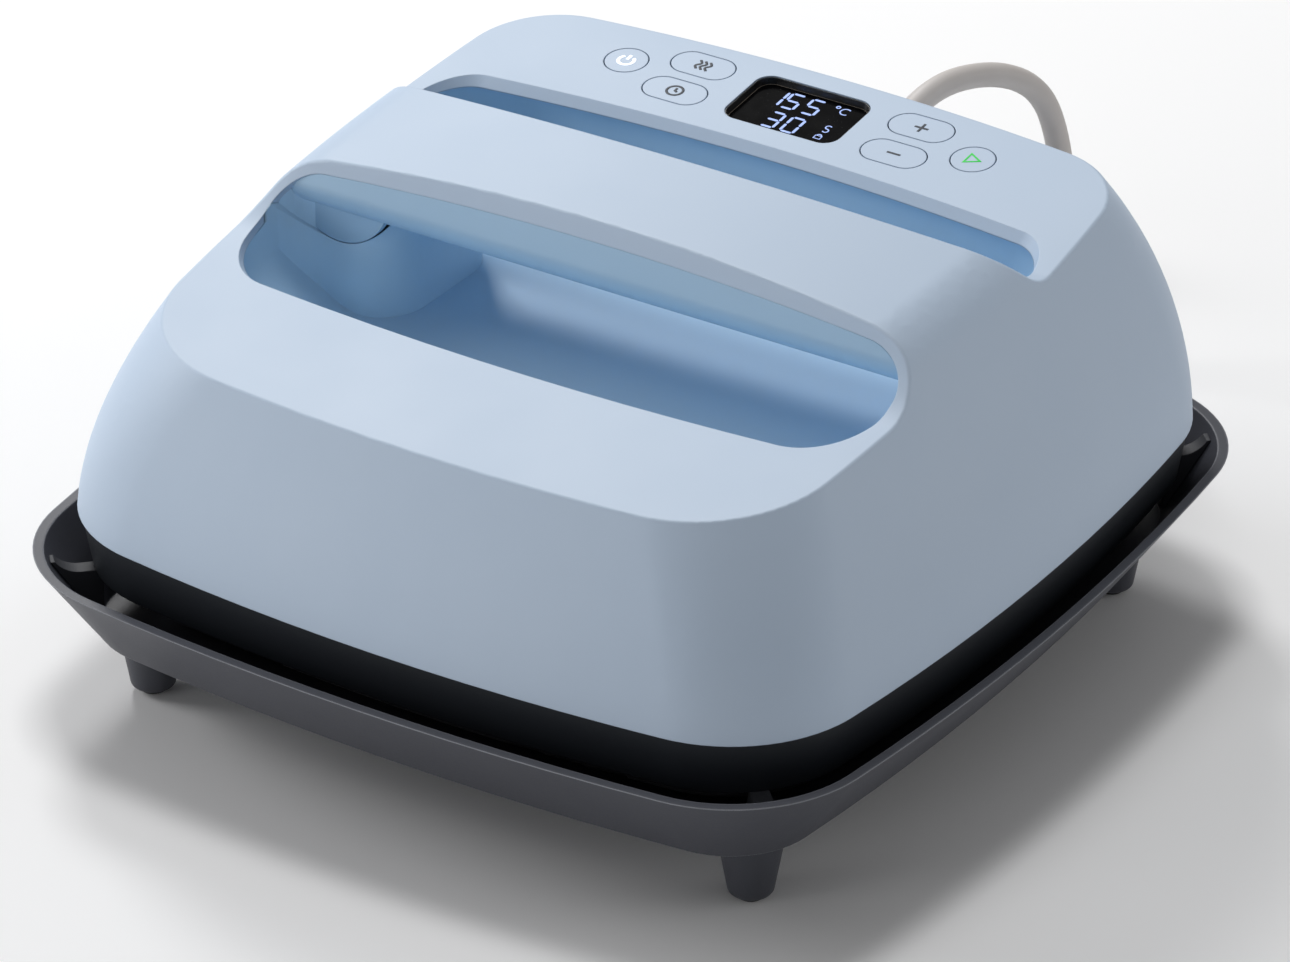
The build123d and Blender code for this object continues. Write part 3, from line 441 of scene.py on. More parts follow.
@dataclass(frozen=True)
class DarkGlass:
    """Gloss black window with a trace of dust and finger haze."""

    name: str
    base: Colour
    haze: Colour
    sheen: float = 0.12
    gloss: float = 0.08
    smear: float = 6 * MM
    smear_share: float = 0.35
    smear_sway: float = 0.10
    speck: float = 0.35 * MM
    speck_level: float = 0.74
    speck_share: float = 0.15
    edge: float = 0.2 * MM

    def build(self) -> bpy.types.Material:
        """Makes the material."""
        graph = Graph(self.name)
        smear = graph.noise(self.smear, RICH)
        dust = graph.noise(self.speck, PLAIN) > self.speck_level
        share = self.smear_share * smear + self.speck_share * dust
        colour = graph.mix(share, self.base, self.haze)
        roughness = self.gloss + self.smear_sway * smear + self.speck_share * dust
        normal = graph.broken_edge(self.edge)
        return graph.dress(
            Base_Color=colour, Roughness=roughness, Normal=normal, Specular_IOR_Level=self.sheen
        )


@dataclass(frozen=True)
class LitMark:
    """Translucent mark with a lamp behind it."""

    name: str
    base: Colour
    glow: Colour
    dim: Colour
    strength: float
    spot: float = 1.1 * MM
    roughness: float = 0.4
    spot_sway: float = 0.2

    def build(self) -> bpy.types.Material:
        """Makes the material."""
        graph = Graph(self.name)
        spots = graph.noise(self.spot, SOFT)
        light = graph.mix(spots, self.glow, self.dim)
        return graph.dress(
            Base_Color=self.base,
            Roughness=self.roughness + self.spot_sway * spots,
            Emission_Color=light,
            Emission_Strength=self.strength,
        )


@dataclass(frozen=True)
class PrintedInk:
    """Printed mark whose ink lies a little unevenly."""

    name: str
    base: Colour
    thin: Colour
    patch: float = 0.8 * MM
    patch_share: float = 0.5
    tooth: float = 0.12 * MM
    tooth_share: float = 0.3
    relief: float = 0.003 * MM
    edge: float = 0.05 * MM
    roughness: float = 0.45
    patch_sway: float = 0.2

    def build(self) -> bpy.types.Material:
        """Makes the material."""
        graph = Graph(self.name)
        patches = graph.noise(self.patch, FINE)
        tooth = graph.noise(self.tooth, PLAIN)
        share = self.patch_share * patches + self.tooth_share * tooth
        colour = graph.mix(share, self.base, self.thin)
        roughness = self.roughness + self.patch_sway * patches
        normal = graph.skin(tooth, self.relief, graph.broken_edge(self.edge))
        return graph.dress(Base_Color=colour, Roughness=roughness, Normal=normal)


@dataclass(frozen=True)
class CircuitBoard:
    """Green board with raised tracks under its lacquer."""

    name: str
    base: Colour
    track: Colour
    cells: float = 260.0
    scatter: float = 0.35
    track_width: float = 0.08
    track_share: float = 0.7
    cloud: float = 8 * MM
    cloud_share: float = 0.2
    relief: float = 0.03 * MM
    edge: float = 0.1 * MM
    roughness: float = 0.3

    def build(self) -> bpy.types.Material:
        """Makes the material."""
        graph = Graph(self.name)
        sockets = {"Vector": graph.coordinates, "Scale": self.cells, "Randomness": self.scatter}
        settings = {"feature": "DISTANCE_TO_EDGE", "distance": "EUCLIDEAN"}
        cells = graph.node("ShaderNodeTexVoronoi", settings, sockets)
        tracks = self.track_width - Value(graph, cells.outputs[0]) > 0.0
        clouds = graph.noise(self.cloud, SOFT)
        share = self.track_share * tracks + self.cloud_share * clouds
        colour = graph.mix(share, self.base, self.track)
        roughness = self.roughness + self.cloud_share * clouds
        normal = graph.skin(tracks, self.relief, graph.broken_edge(self.edge))
        return graph.dress(Base_Color=colour, Roughness=roughness, Normal=normal)


@dataclass(frozen=True)
class WovenCloth:
    """Woven strap or fibre mat with crossing threads."""

    name: str
    base: Colour
    shade: Colour
    thread: float
    weave_share: float = 0.7
    fuzz_share: float = 0.3
    fuzz_height: float = 0.4
    relief: float = 0.15 * MM
    edge: float = 0.2 * MM
    roughness: float = 0.8
    fuzz_sway: float = 0.1

    def build(self) -> bpy.types.Material:
        """Makes the material."""
        graph = Graph(self.name)
        waves = []
        for axis in ("X", "Y", "Z"):
            settings = {"wave_type": "BANDS", "bands_direction": axis, "wave_profile": "SIN"}
            sockets = {"Vector": graph.coordinates, "Scale": 0.5 / self.thread}
            made = graph.node("ShaderNodeTexWave", settings, sockets)
            waves.append(Value(graph, made.outputs["Fac"]))
        weave = (waves[0] + waves[1] + waves[2]) * (1 / len(waves))
        fuzz = graph.noise(self.thread, FINE)
        share = self.weave_share * weave + self.fuzz_share * fuzz
        colour = graph.mix(share, self.shade, self.base)
        height = weave + self.fuzz_height * fuzz
        roughness = self.roughness + self.fuzz_sway * fuzz
        normal = graph.skin(height, self.relief, graph.broken_edge(self.edge))
        return graph.dress(Base_Color=colour, Roughness=roughness, Normal=normal)


class FinishBook:
    """All finishes of the object, made once."""

    def __init__(self) -> None:
        """Makes the materials."""
        recipes = [
            MouldedPlastic("shell_blue", paint(186, 202, 221), paint(183, 200, 220), 0.52),
            MouldedPlastic("key_blue", paint(186, 202, 221), paint(182, 199, 220), 0.5),
            MouldedPlastic("liner_blue", paint(164, 196, 222), paint(160, 193, 220), 0.45),
            # Painted light: a lighter copy of the liner plastic for the hand recess, lifting the
            # shade inside it
            MouldedPlastic("recess_blue_painted_lighter", paint(192, 222, 245), paint(189, 220, 244), 0.45),
            MouldedPlastic("band_black", paint(30, 34, 40), paint(24, 28, 34), 0.45),
            MouldedPlastic(
                "tray_grey",
                paint(68, 70, 78),
                paint(60, 62, 70),
                0.48,
                grain=0.7 * MM,
                relief=0.03 * MM,
                edge=0.8 * MM,
                # Painted highlight along the tray's rounded rim edges
                edge_highlight=paint(170, 172, 180),
            ),
            MouldedPlastic(
                "bezel_black", paint(22, 22, 24), paint(16, 16, 18), 0.3, edge=0.15 * MM
            ),
            MouldedPlastic(
                "seal_brown", paint(120, 110, 98), paint(104, 96, 86), 0.35, edge=0.1 * MM
            ),
            MouldedPlastic("inner_black", paint(92, 94, 98), paint(80, 82, 86), 0.5),
            MouldedPlastic(
                "cord_grey", paint(200, 195, 192), paint(192, 186, 182), 0.5, cloud=12 * MM
            ),
            MouldedPlastic("lead_red", paint(170, 40, 32), paint(150, 32, 26), 0.5),
            MouldedPlastic("pad_rubber", paint(44, 44, 47), paint(36, 36, 39), 0.75),
            MouldedPlastic("rest_rubber", paint(58, 60, 66), paint(50, 52, 58), 0.6),
            BrushedMetal("plate_metal", paint(150, 150, 152), paint(128, 128, 131), 0.38),
            BrushedMetal("shield_metal", paint(205, 205, 206), paint(184, 184, 186), 0.3),
            BrushedMetal("steel", paint(190, 190, 192), paint(168, 168, 171), 0.32),
            BrushedMetal("pin_brass", paint(214, 190, 130), paint(196, 168, 104), 0.25),
            DarkGlass("display_black", paint(3, 3, 4), paint(9, 9, 11)),
            LitMark(
                "digit_white", paint(60, 66, 84), paint(176, 200, 255), paint(150, 178, 250), 1.0
            ),
            LitMark(
                "power_white", paint(230, 236, 244), paint(255, 255, 255), paint(232, 240, 255), 0.5
            ),
            LitMark("start_green", paint(10, 120, 40), paint(10, 225, 62), paint(4, 205, 50), 0.6),
            PrintedInk("mark_ink", paint(34, 40, 50), paint(50, 58, 70)),
            CircuitBoard("board_green", paint(24, 84, 48), paint(46, 116, 66)),
            WovenCloth("tie_black", paint(52, 52, 54), paint(20, 20, 22), 0.6 * MM),
            WovenCloth("insulation", paint(228, 224, 212), paint(190, 184, 170), 1.6 * MM),
        ]
        self.materials = {recipe.name: recipe.build() for recipe in recipes}

    def __getitem__(self, name: str) -> bpy.types.Material:
        """The material of that name."""
        return self.materials[name]


# Meshes


def add_object(name: str, mesh: bpy.types.Mesh) -> bpy.types.Object:
    """Puts a mesh into the scene.

    Args:
        name: Name of the piece.
        mesh: Its mesh, with its place in it.

    Returns:
        The new object, at the origin.
    """
    piece = bpy.data.objects.new(name, mesh)
    bpy.context.scene.collection.objects.link(piece)
    return piece


def line_mesh(name: str, strokes: Iterable[Stroke]) -> bpy.types.Mesh:
    """Mesh of bare edges.

    Args:
        name: Name of the mesh.
        strokes: Lines of points, each with whether it closes on itself.

    Returns:
        The mesh.
    """
    points, edges = [], []
    for stroke, closed in strokes:
        first = len(points)
        points += [(*point, 0.0)[:3] for point in stroke]
        edges += [(i, i + 1) for i in range(first, len(points) - 1)]
        if closed:
            edges.append((len(points) - 1, first))
    mesh = bpy.data.meshes.new(name)
    mesh.from_pydata(points, edges, [])
    return mesh


def point_mesh(
    name: str, rows: Sequence[tuple[Sequence[float], Sequence[float], Sequence[float]]]
) -> bpy.types.Mesh:
    """Mesh of bare points that each say how a copy stands there.

    Args:
        name: Name of the mesh.
        rows: Place, turn and scale of each point.

    Returns:
        The mesh.
    """
    mesh = bpy.data.meshes.new(name)
    mesh.from_pydata([row[0] for row in rows], [], [])
    for column, label in ((1, "turn"), (2, "scale")):
        layer = mesh.attributes.new(label, "FLOAT_VECTOR", "POINT")
        layer.data.foreach_set("vector", [number for row in rows for number in row[column]])
    return mesh


def arc(centre: Point, radius: float, start: float, end: float, steps: int) -> list[Point]:
    """Points on an arc.

    Args:
        centre: Middle of the arc.
        radius: Its radius.
        start: First angle in degrees.
        end: Last angle in degrees.
        steps: How many steps it has.

    Returns:
        The points from start to end.
    """
    angles = [math.radians(start + (end - start) * i / steps) for i in range(steps + 1)]
    return [(centre[0] + radius * math.cos(a), centre[1] + radius * math.sin(a)) for a in angles]


def ring(centre: Point, radius: float, steps: int) -> list[Point]:
    """Points round a full circle."""
    return arc(centre, radius, 0, 360, steps)[:-1]


def carried_mesh(node: str, name: str, smooth_angle: float) -> bpy.types.Mesh:
    """Copy of a CAD node's mesh, merged and smooth up to an angle.

    Args:
        node: Name of the CAD node.
        name: Name of the copy.
        smooth_angle: Angle in degrees above which an edge stays sharp.

    Returns:
        The copy.
    """
    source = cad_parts[node].data
    mesh = bpy.data.meshes.new(name)
    corners = [tuple(vertex.co) for vertex in source.vertices]
    mesh.from_pydata(corners, [], [tuple(face.vertices) for face in source.polygons])
    work = bmesh.new()
    work.from_mesh(mesh)
    bmesh.ops.remove_doubles(work, verts=work.verts, dist=WELD_GAP)
    bmesh.ops.dissolve_degenerate(work, dist=SLIVER, edges=work.edges)
    work.to_mesh(mesh)
    work.free()
    mesh.shade_smooth()
    mesh.set_sharp_from_angle(angle=math.radians(smooth_angle))
    return mesh


@dataclass(frozen=True)
class Carried:
    """A CAD node that is shown as a smooth copy in a finish."""

    piece: str
    node: str
    finish: str
    slot: str
    smooth_angle: float = 28.0

    def build(self, book: FinishBook, body: str) -> bpy.types.Object:
        """Makes the copy.

        Args:
            book: The finishes.
            body: Body that the piece rides on.

        Returns:
            The piece.
        """
        piece = add_object(self.piece, carried_mesh(self.node, self.piece, self.smooth_angle))
        piece.data.materials.append(book[self.finish])
        even = piece.modifiers.new("even_normals", "WEIGHTED_NORMAL")
        even.keep_sharp = True
        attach(piece, body)
        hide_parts(self.node)
        LOG.info("%s carries %s on %s", self.piece, self.node, body)
        return piece


# Studio


@dataclass
class StudioCamera:
    """Camera at the photograph's angle, with a long lens."""

    target: Vector = field(default_factory=lambda: Vector((0, 1.6, 57)) * MM)
    azimuth: float = 32.95
    elevation: float = 29.22
    distance: float = 2016 * MM
    focal_pixels: float = 7389
    sensor: float = 36.0
    shift_pixels: Point = (4, -26)
    near: float = 0.05

    def build(self) -> None:
        """Makes the camera and gives it to the scene."""
        turn, rise = math.radians(self.azimuth), math.radians(self.elevation)
        level = math.cos(rise)
        back = Vector((math.sin(turn) * level, -math.cos(turn) * level, math.sin(rise)))
        lens = bpy.data.cameras.new("studio_camera")
        lens.sensor_width = self.sensor
        lens.lens = self.focal_pixels / PHOTO_WIDTH * self.sensor
        lens.shift_x = self.shift_pixels[0] / PHOTO_WIDTH
        lens.shift_y = self.shift_pixels[1] / PHOTO_WIDTH
        lens.clip_start = self.near
        camera = bpy.data.objects.new("studio_camera", lens)
        camera.location = self.target + back * self.distance
        camera.rotation_euler = back.to_track_quat("Z", "Y").to_euler()
        bpy.context.scene.collection.objects.link(camera)
        bpy.context.scene.camera = camera


@dataclass(frozen=True)
class SoftBox:
    """Large soft lamp that looks at the object."""

    name: str
    place: Place
    side: float
    power: float

    def build(self) -> None:
        """Makes the lamp."""
        lamp = bpy.data.lights.new(self.name, "AREA")
        lamp.shape = "SQUARE"
        lamp.size = self.side
        lamp.energy = self.power
        made = bpy.data.objects.new(self.name, lamp)
        made.location = self.place
        toward = Vector(self.place) - Vector(LAMP_AIM) * MM
        made.rotation_euler = toward.to_track_quat("Z", "Y").to_euler()
        bpy.context.scene.collection.objects.link(made)


@dataclass
class Studio:
    """Pale floor, soft lamps and an even sky."""

    floor_radius: float = 4.0
    floor_height: float = -0.1 * MM
    floor_steps: int = 96
    floor_cloud: float = 0.4
    floor_roughness: float = 0.85
    floor_sway: float = 0.1
    sky: float = 0.22
    lamps: tuple[SoftBox, ...] = (
        SoftBox("key_lamp", (-0.45, 0.4, 2.3), 0.7, 19.5),
        SoftBox("back_lamp", (-1.25, 1.1, 1.5), 0.45, 17.0),
        SoftBox("left_lamp", (-1.8, -0.5, 0.9), 0.8, 13.0),
        SoftBox("front_lamp", (-1.2, -1.8, 0.3), 0.8, 8.0),
        SoftBox("right_lamp", (1.6, 0.9, 0.4), 0.9, 4.5),
    )

    def build(self) -> None:
        """Makes the floor, the lamps and the sky."""
        mesh = bpy.data.meshes.new("studio_floor")
        edge = ring((0, 0), self.floor_radius, self.floor_steps)
        rim = [(*point, self.floor_height) for point in edge]
        mesh.from_pydata(rim, [], [tuple(range(len(rim)))])
        floor = add_object("studio_floor", mesh)
        floor.data.materials.append(self.floor_finish())
        for lamp in self.lamps:
            lamp.build()
        world = bpy.data.worlds.new("studio_sky")
        world.use_nodes = True
        backdrop = world.node_tree.nodes["Background"]
        backdrop.inputs["Color"].default_value = paint(255, 255, 255)
        backdrop.inputs["Strength"].default_value = self.sky
        bpy.context.scene.world = world
        bpy.context.scene.view_settings.view_transform = "Standard"

    def floor_finish(self) -> bpy.types.Material:
        """Matt white floor with barely seen clouds."""
        graph = Graph("studio_floor")
        clouds = graph.noise(self.floor_cloud, SOFT)
        colour = graph.mix(clouds, paint(250, 250, 250), paint(247, 247, 248))
        roughness = self.floor_roughness + self.floor_sway * clouds
        return graph.dress(Base_Color=colour, Roughness=roughness)


# The mains cord


@dataclass
class MainsCord:
    """Grey mains lead: an arch behind the press, a run on the floor and a tied coil."""

    diameter: float = 7.2 * MM
    length: float = 1.57
    sides: int = 20
    route: tuple[Place, ...] = (
        (0, 119.67, 94.5),
        (0, 127.61, 97.54),
        (0, 152.8, 106.2),
        (6.5, 177.5, 102.8),
        (12.5, 195, 91.5),
        (15, 202.5, 71),
        (17, 203.5, 46),
        (17, 204, 24),
        (4, 190, 7),
        (-16, 172, 3.7),
        (-36, 157, 3.7),
        (-58, 148, 4.2),
        (-76, 146, 4.8),
        (-92.8, 146, 4.8),
    )
    coil_centre: Point = (-100, 193)
    coil_radius: float = 47
    coil_pitch: float = 7.7
    coil_low: float = 4.8
    coil_half_turns: float = 2.75
    coil_steps: int = 24
    tail: tuple[Place, ...] = ((-88, 240, 12.5), (-74, 240, 12.5), (-58, 240, 12.5))
    spline_order: int = 3
    spline_steps: int = 8
    press_above: float = 90 * MM
    base_below: float = 17 * MM
    blend_depth: float = 200 * MM
    relief_axis: Place = (0, 0.9337, 0.358)
    relief_length: float = 24
    relief_ribs: int = 6
    rib_start: float = 5.0
    rib_pitch: float = 3.2
    rib_radius: float = 6.2
    rib_taper: float = 1.4
    rib_section: float = 0.12
    rib_stretch: float = 5.0
    hoop_steps: int = 32
    hoop_sides: int = 10

    def coil(self) -> list[Place]:
        """Points of the coil's turns: inwards on the floor, then outwards on top."""
        count = round(2 * self.coil_half_turns * self.coil_steps)
        points = []
        for i in range(count + 1):
            turn = i / self.coil_steps
            inward = self.coil_half_turns - abs(turn - self.coil_half_turns)
            radius = self.coil_radius - self.coil_pitch * inward
            climb = min(max(2 * (turn - self.coil_half_turns) + 0.5, 0), 1)
            height = self.coil_low + self.coil_pitch * climb * climb * (3 - 2 * climb)
            angle = -math.pi / 2 - 2 * math.pi * turn
            x = self.coil_centre[0] + radius * math.cos(angle)
            y = self.coil_centre[1] + radius * math.sin(angle)
            points.append((x, y, height))
        return points

    def path(self) -> list[Vector]:
        """Points read along the route's smooth spline, in metres."""
        points = [*self.route, *self.coil(), *self.tail]
        curve = bpy.data.curves.new("cord_route", "CURVE")
        curve.dimensions = "3D"
        curve.resolution_u = self.spline_steps
        spline = curve.splines.new("NURBS")
        spline.points.add(len(points) - 1)
        for place, point in zip(spline.points, points):
            place.co = (*(Vector(point) * MM), 1.0)
        spline.order_u = self.spline_order
        spline.use_endpoint_u = True
        holder = bpy.data.objects.new("cord_route", curve)
        bpy.context.scene.collection.objects.link(holder)
        bpy.context.view_layer.update()
        line = bpy.data.meshes.new_from_object(holder)
        found = [vertex.co.copy() for vertex in line.vertices]
        bpy.data.objects.remove(holder)
        bpy.data.meshes.remove(line)
        return found

    def build(self, book: FinishBook, sweep: Former, repeat: Former) -> None:
        """Makes the cord, its boot, plug and tie.

        Args:
            book: The finishes.
            sweep: Tree that sweeps a section along a line.
            repeat: Tree that repeats a piece on points.
        """
        path = self.path()
        cord = add_object("mains_cord", line_mesh("mains_cord", [(path, False)]))
        radius = self.diameter / 2
        sweep.form(cord, Radius=radius, Sides=self.sides, Flatness=1.0, Material=book["cord_grey"])
        cord.data.shade_smooth()
        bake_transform(cord)
        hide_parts("cord_lead", "cord_coil")
        run = sum((b - a).length for a, b in zip(path, path[1:]))
        LOG.info("mains_cord runs %.3f m", run)
        boot = Carried("cord_boot", "strain_relief", "cord_grey", "cord_grey")
        plug = Carried("cord_plug", "plug_body", "cord_grey", "cord_grey")
        pins = Carried("plug_blades", "plug_pins", "pin_brass", "pin_brass")
        tie = Carried("coil_strap", "cord_tie", "tie_black", "tie_black")
        pieces = [boot.build(book, Body.PRESS.value), self.ribs(book, sweep, repeat)]
        pieces += [item.build(book, Body.BASE.value) for item in (plug, pins, tie)]

    def ribs(self, book: FinishBook, sweep: Former, repeat: Former) -> bpy.types.Object:
        """Rings moulded round the boot.

        Args:
            book: The finishes.
            sweep: Tree that sweeps a section along a line.
            repeat: Tree that repeats a piece on points.

        Returns:
            The piece with all rings.
        """
        material = book["cord_grey"]
        circle = ring((0, 0), MM, self.hoop_steps)
        hoop = add_object("boot_hoop", line_mesh("boot_hoop", [(circle, True)]))
        thin = self.rib_section * MM
        sweep.form(hoop, Radius=thin, Sides=self.hoop_sides, Flatness=1.0, Material=material)
        axis = Vector(self.relief_axis).normalized()
        turn = tuple(axis.to_track_quat("Z", "Y").to_euler())
        first = Vector(self.route[0]) * MM
        rows = []
        for i in range(self.relief_ribs):
            reach = self.rib_start + self.rib_pitch * i
            radius = self.rib_radius - self.rib_taper * reach / self.relief_length
            rows.append((first + axis * reach * MM, turn, (radius, radius, self.rib_stretch)))
        piece = add_object("boot_ribs", point_mesh("boot_ribs", rows))
        repeat.form(piece, Piece=hoop, Material=material)
        piece.data.shade_smooth()
        bpy.data.objects.remove(hoop)
        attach(piece, Body.PRESS.value)
        LOG.info("boot_ribs has %d rings", self.relief_ribs)
        return piece


# The press and its base


@dataclass
class RecessCorner:
    """Wall behind the round seam in the recess's left corner."""

    centre: Point = (-86.5, -33.4)
    faces: tuple[float, float] = (14.0, 14.8)
    # Angle round the corner in degrees, foot and top of the wall in millimetres
    rows: tuple[Place, ...] = (
        (105, 108.5, 120),
        (115, 109.5, 120),
        (125, 111, 121),
        (135, 113, 123.4),
        (145, 115, 121.8),
        (152, 117, 120.6),
        (160, 116.5, 119),
    )

    def build(self, book: FinishBook) -> None:
        """Makes the wall, which rides the press.

        Args:
            book: The finishes.
        """
        points, sides = [], []
        for angle, foot, top in self.rows:
            near, far = (arc(self.centre, radius, angle, angle, 1)[0] for radius in self.faces)
            section = [(*near, foot), (*near, top), (*far, top), (*far, foot)]
            points += section
        count, total = len(section), len(points)
        for here in range(0, total - count, count):
            there = here + count
            for k in range(count):
                after = (k + 1) % count
                sides.append((here + k, here + after, there + after, there + k))
        caps = [tuple(reversed(range(count))), tuple(range(total - count, total))]
        mesh = bpy.data.meshes.new("recess_corner")
        mesh.from_pydata([Vector(point) * MM for point in points], [], sides + caps)
        # Painted light: the lighter copy of the liner plastic, lifting the shade in the recess
        # corner
        mesh.materials.append(book["recess_blue_painted_lighter"])
        piece = add_object("recess_corner", mesh)
        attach(piece, Body.PRESS.value)
        LOG.info("recess_corner rides on %s", Body.PRESS.value)


@dataclass
class PressBody:
    """Blue shell, hand recess, handle underside, black band and what is inside."""

    shown: tuple[Carried, ...] = (
        Carried("shell_top", "upper_shell", "shell_blue", "shell_blue", 32.0),
        # The hand recess is dressed in the lighter liner copy: painted light that lifts its shade
        Carried("hand_recess", "handle_liner", "recess_blue_painted_lighter", "liner_blue"),
        Carried("handle_grip", "handle_underside", "liner_blue", "liner_blue"),
        Carried("skirt_band", "lower_band", "band_black", "band_black"),
        Carried("press_plate", "heat_plate", "plate_metal", "plate_metal"),
        Carried("grip_screws", "handle_screws", "steel", "steel"),
    )
    inside: tuple[tuple[str, tuple[str, ...]], ...] = (
        ("steel", ("heating_element", "element_bars", "plate_spacers", "plate_screws")),
        ("steel", ("shell_screws", "board_screws", "temperature_sensor", "thermal_fuse")),
        ("insulation", ("insulation_blanket",)),
        ("shield_metal", ("heat_shield",)),
        ("inner_black", ("chassis_plate", "key_switches", "display_module", "buzzer", "relay")),
        ("inner_black", ("capacitor", "supply_module", "terminal_block", "cord_collar")),
        ("board_green", ("control_board", "power_board")),
        ("cord_grey", ("ribbon_cable", "cord_inner")),
        ("lead_red", ("heater_leads",)),
    )

    def build(self, book: FinishBook) -> None:
        """Dresses the press.

        Args:
            book: The finishes.
        """
        for item in self.shown:
            item.build(book, Body.PRESS.value)
        for finish, nodes in self.inside:
            for node in nodes:
                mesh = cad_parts[node].data
                mesh.materials.clear()
                mesh.materials.append(book[finish])
                LOG.info("%s is dressed in %s", node, finish)


class Mark(Enum):
    """Marks on the keys."""

    POWER = "power"
    HEAT = "temperature"
    TIMER = "timer"
    PLUS = "plus"
    MINUS = "minus"
    START = "start"


MARK_STROKES: dict[Mark, list[Stroke]] = {
    Mark.POWER: [(arc((0, -0.1), 2.3, 130, 410, 28), False), ([(0, 0.3), (0, 2.7)], False)],
    Mark.HEAT: [
        ([(x + 0.55 * math.sin(1.9 * y), y) for y in [0.4 * i - 2.2 for i in range(12)]], False)
        for x in (-1.6, 0, 1.6)
    ],
    Mark.TIMER: [(ring((0, 0), 2.35, 32), True), ([(0.0, 1.3), (0, 0), (0.9, -0.5)], False)],
    Mark.PLUS: [([(-2.1, 0), (2.1, 0)], False), ([(0, -2.1), (0, 2.1)], False)],
    Mark.MINUS: [([(-2.1, 0), (2.1, 0)], False)],
    Mark.START: [([(-1.75, -2.3), (2.2, 0), (-1.75, 2.3)], True)],
}


@dataclass
class ControlPanel:
    """Six flush keys with their marks, and the display between them."""

    origin: Vector = field(default_factory=lambda: Vector((0, 81.0, 129.07)) * MM)
    tilt: float = 6.23
    keys: dict[Mark, Point] = field(
        default_factory=lambda: {
            Mark.POWER: (-56.3, 0),
            Mark.HEAT: (-35.5, 7.4),
            Mark.TIMER: (-35.5, -7.4),
            Mark.PLUS: (35.5, 7.4),
            Mark.MINUS: (35.5, -7.4),
            Mark.START: (56.3, 0),
        }
    )
    inks: dict[Mark, str] = field(
        default_factory=lambda: {Mark.POWER: "power_white", Mark.START: "start_green"}
    )
    stroke_width: float = 0.78
    lit_width: float = 1.1
    print_lift: float = 0.05
    seal_width: float = 0.3
    sign_width: float = 0.42
    stroke_sides: int = 12
    flatness: float = 0.16
    window: Point = (35.1, 22.7)
    window_corner: float = 4.2
    window_steps: int = 8
    window_sink: float = 2.2
    segment: Point = (3.5, 0.8)
    segment_sink: float = 0.04
    segment_height: float = 0.08
    cell: Point = (4.0, 7.4)
    # Lit segments of each digit and the place of its middle
    numbers: tuple[tuple[str, float, float], ...] = (
        ("bc", -10.3, 5.7),
        ("afgcd", -5.1, 5.7),
        ("afgcd", 1.5, 5.7),
        ("abgcd", -5.1, -4.8),
        ("abcdef", 1.3, -4.8),
    )

    def place(self, u: float, v: float, lift: float) -> Matrix:
        """Place on the panel.

        Args:
            u: Millimetres to the right of its centre.
            v: Millimetres to the rear of its centre.
            lift: Millimetres above its surface.

        Returns:
            The matrix that takes a piece there.
        """
        tilted = Matrix.Rotation(math.radians(self.tilt), 4, "X")
        along = Matrix.Translation(Vector((u, v, lift)) * MM)
        return Matrix.Translation(self.origin) @ tilted @ along

    def build(self, book: FinishBook, sweep: Former, repeat: Former) -> None:
        """Dresses the panel.

        Args:
            book: The finishes.
            sweep: Tree that sweeps a section along a line.
            repeat: Tree that repeats a piece on points.
        """
        for mark, (u, v) in self.keys.items():
            body = mark.value + "_button"
            cap = Carried(mark.value + "_cap", mark.value + "_key", "key_blue", "key_blue")
            cap.build(book, body)
            ink = self.inks.get(mark, "mark_ink")
            width = self.lit_width if mark in self.inks else self.stroke_width
            piece = self.draw(mark.value + "_mark", MARK_STROKES[mark], width, book[ink], sweep)
            self.settle(piece, self.place(u, v, self.print_lift), body)
        press = Body.PRESS.value
        edging = Carried("display_frame", "display_bezel", "bezel_black", "display_black")
        edging.build(book, press)
        pane = Carried("display_glass", "display_window", "display_black", "display_black")
        pane.build(book, press)
        outline = [(self.window_outline(), True)]
        seal = self.draw("display_seal", outline, self.seal_width, book["seal_brown"], sweep)
        glass = self.place(0, 0, -self.window_sink)
        self.settle(seal, glass, press)
        white = book["digit_white"]
        self.settle(self.digits(white, repeat), glass, press)
        signs = self.draw("display_signs", self.sign_strokes(), self.sign_width, white, sweep)
        self.settle(signs, glass, press)

    def draw(
        self,
        name: str,
        strokes: list[Stroke],
        width: float,
        material: bpy.types.Material,
        sweep: Former,
    ) -> bpy.types.Object:
        """Raised print along strokes.

        Args:
            name: Name of the piece.
            strokes: Lines in millimetres.
            width: Width of a line in millimetres.
            material: Its finish.
            sweep: Tree that sweeps a section along a line.

        Returns:
            The piece, still at the origin.
        """
        lines = [([(x * MM, y * MM) for x, y in line], closed) for line, closed in strokes]
        piece = add_object(name, line_mesh(name, lines))
        sweep.form(
            piece,
            Radius=width / 2 * MM,
            Sides=self.stroke_sides,
            Flatness=self.flatness,
            Material=material,
        )
        piece.data.shade_smooth()
        return piece

    def settle(self, piece: bpy.types.Object, place: Matrix, body: str) -> None:
        """Puts a mark in its place and lets it ride.

        Args:
            piece: The mark.
            place: Where it goes.
            body: Body that it rides on.
        """
        piece.data.transform(place)
        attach(piece, body)
        LOG.info("%s rides on %s", piece.name, body)

    def window_outline(self) -> list[Point]:
        """Rounded outline of the window, in millimetres."""
        points = []
        corners = (((1, 1), 0), ((-1, 1), 90), ((-1, -1), 180), ((1, -1), 270))
        for (i, j), start in corners:
            x = i * (self.window[0] / 2 - self.window_corner)
            y = j * (self.window[1] / 2 - self.window_corner)
            points += arc((x, y), self.window_corner, start, start + 90, self.window_steps)
        return points

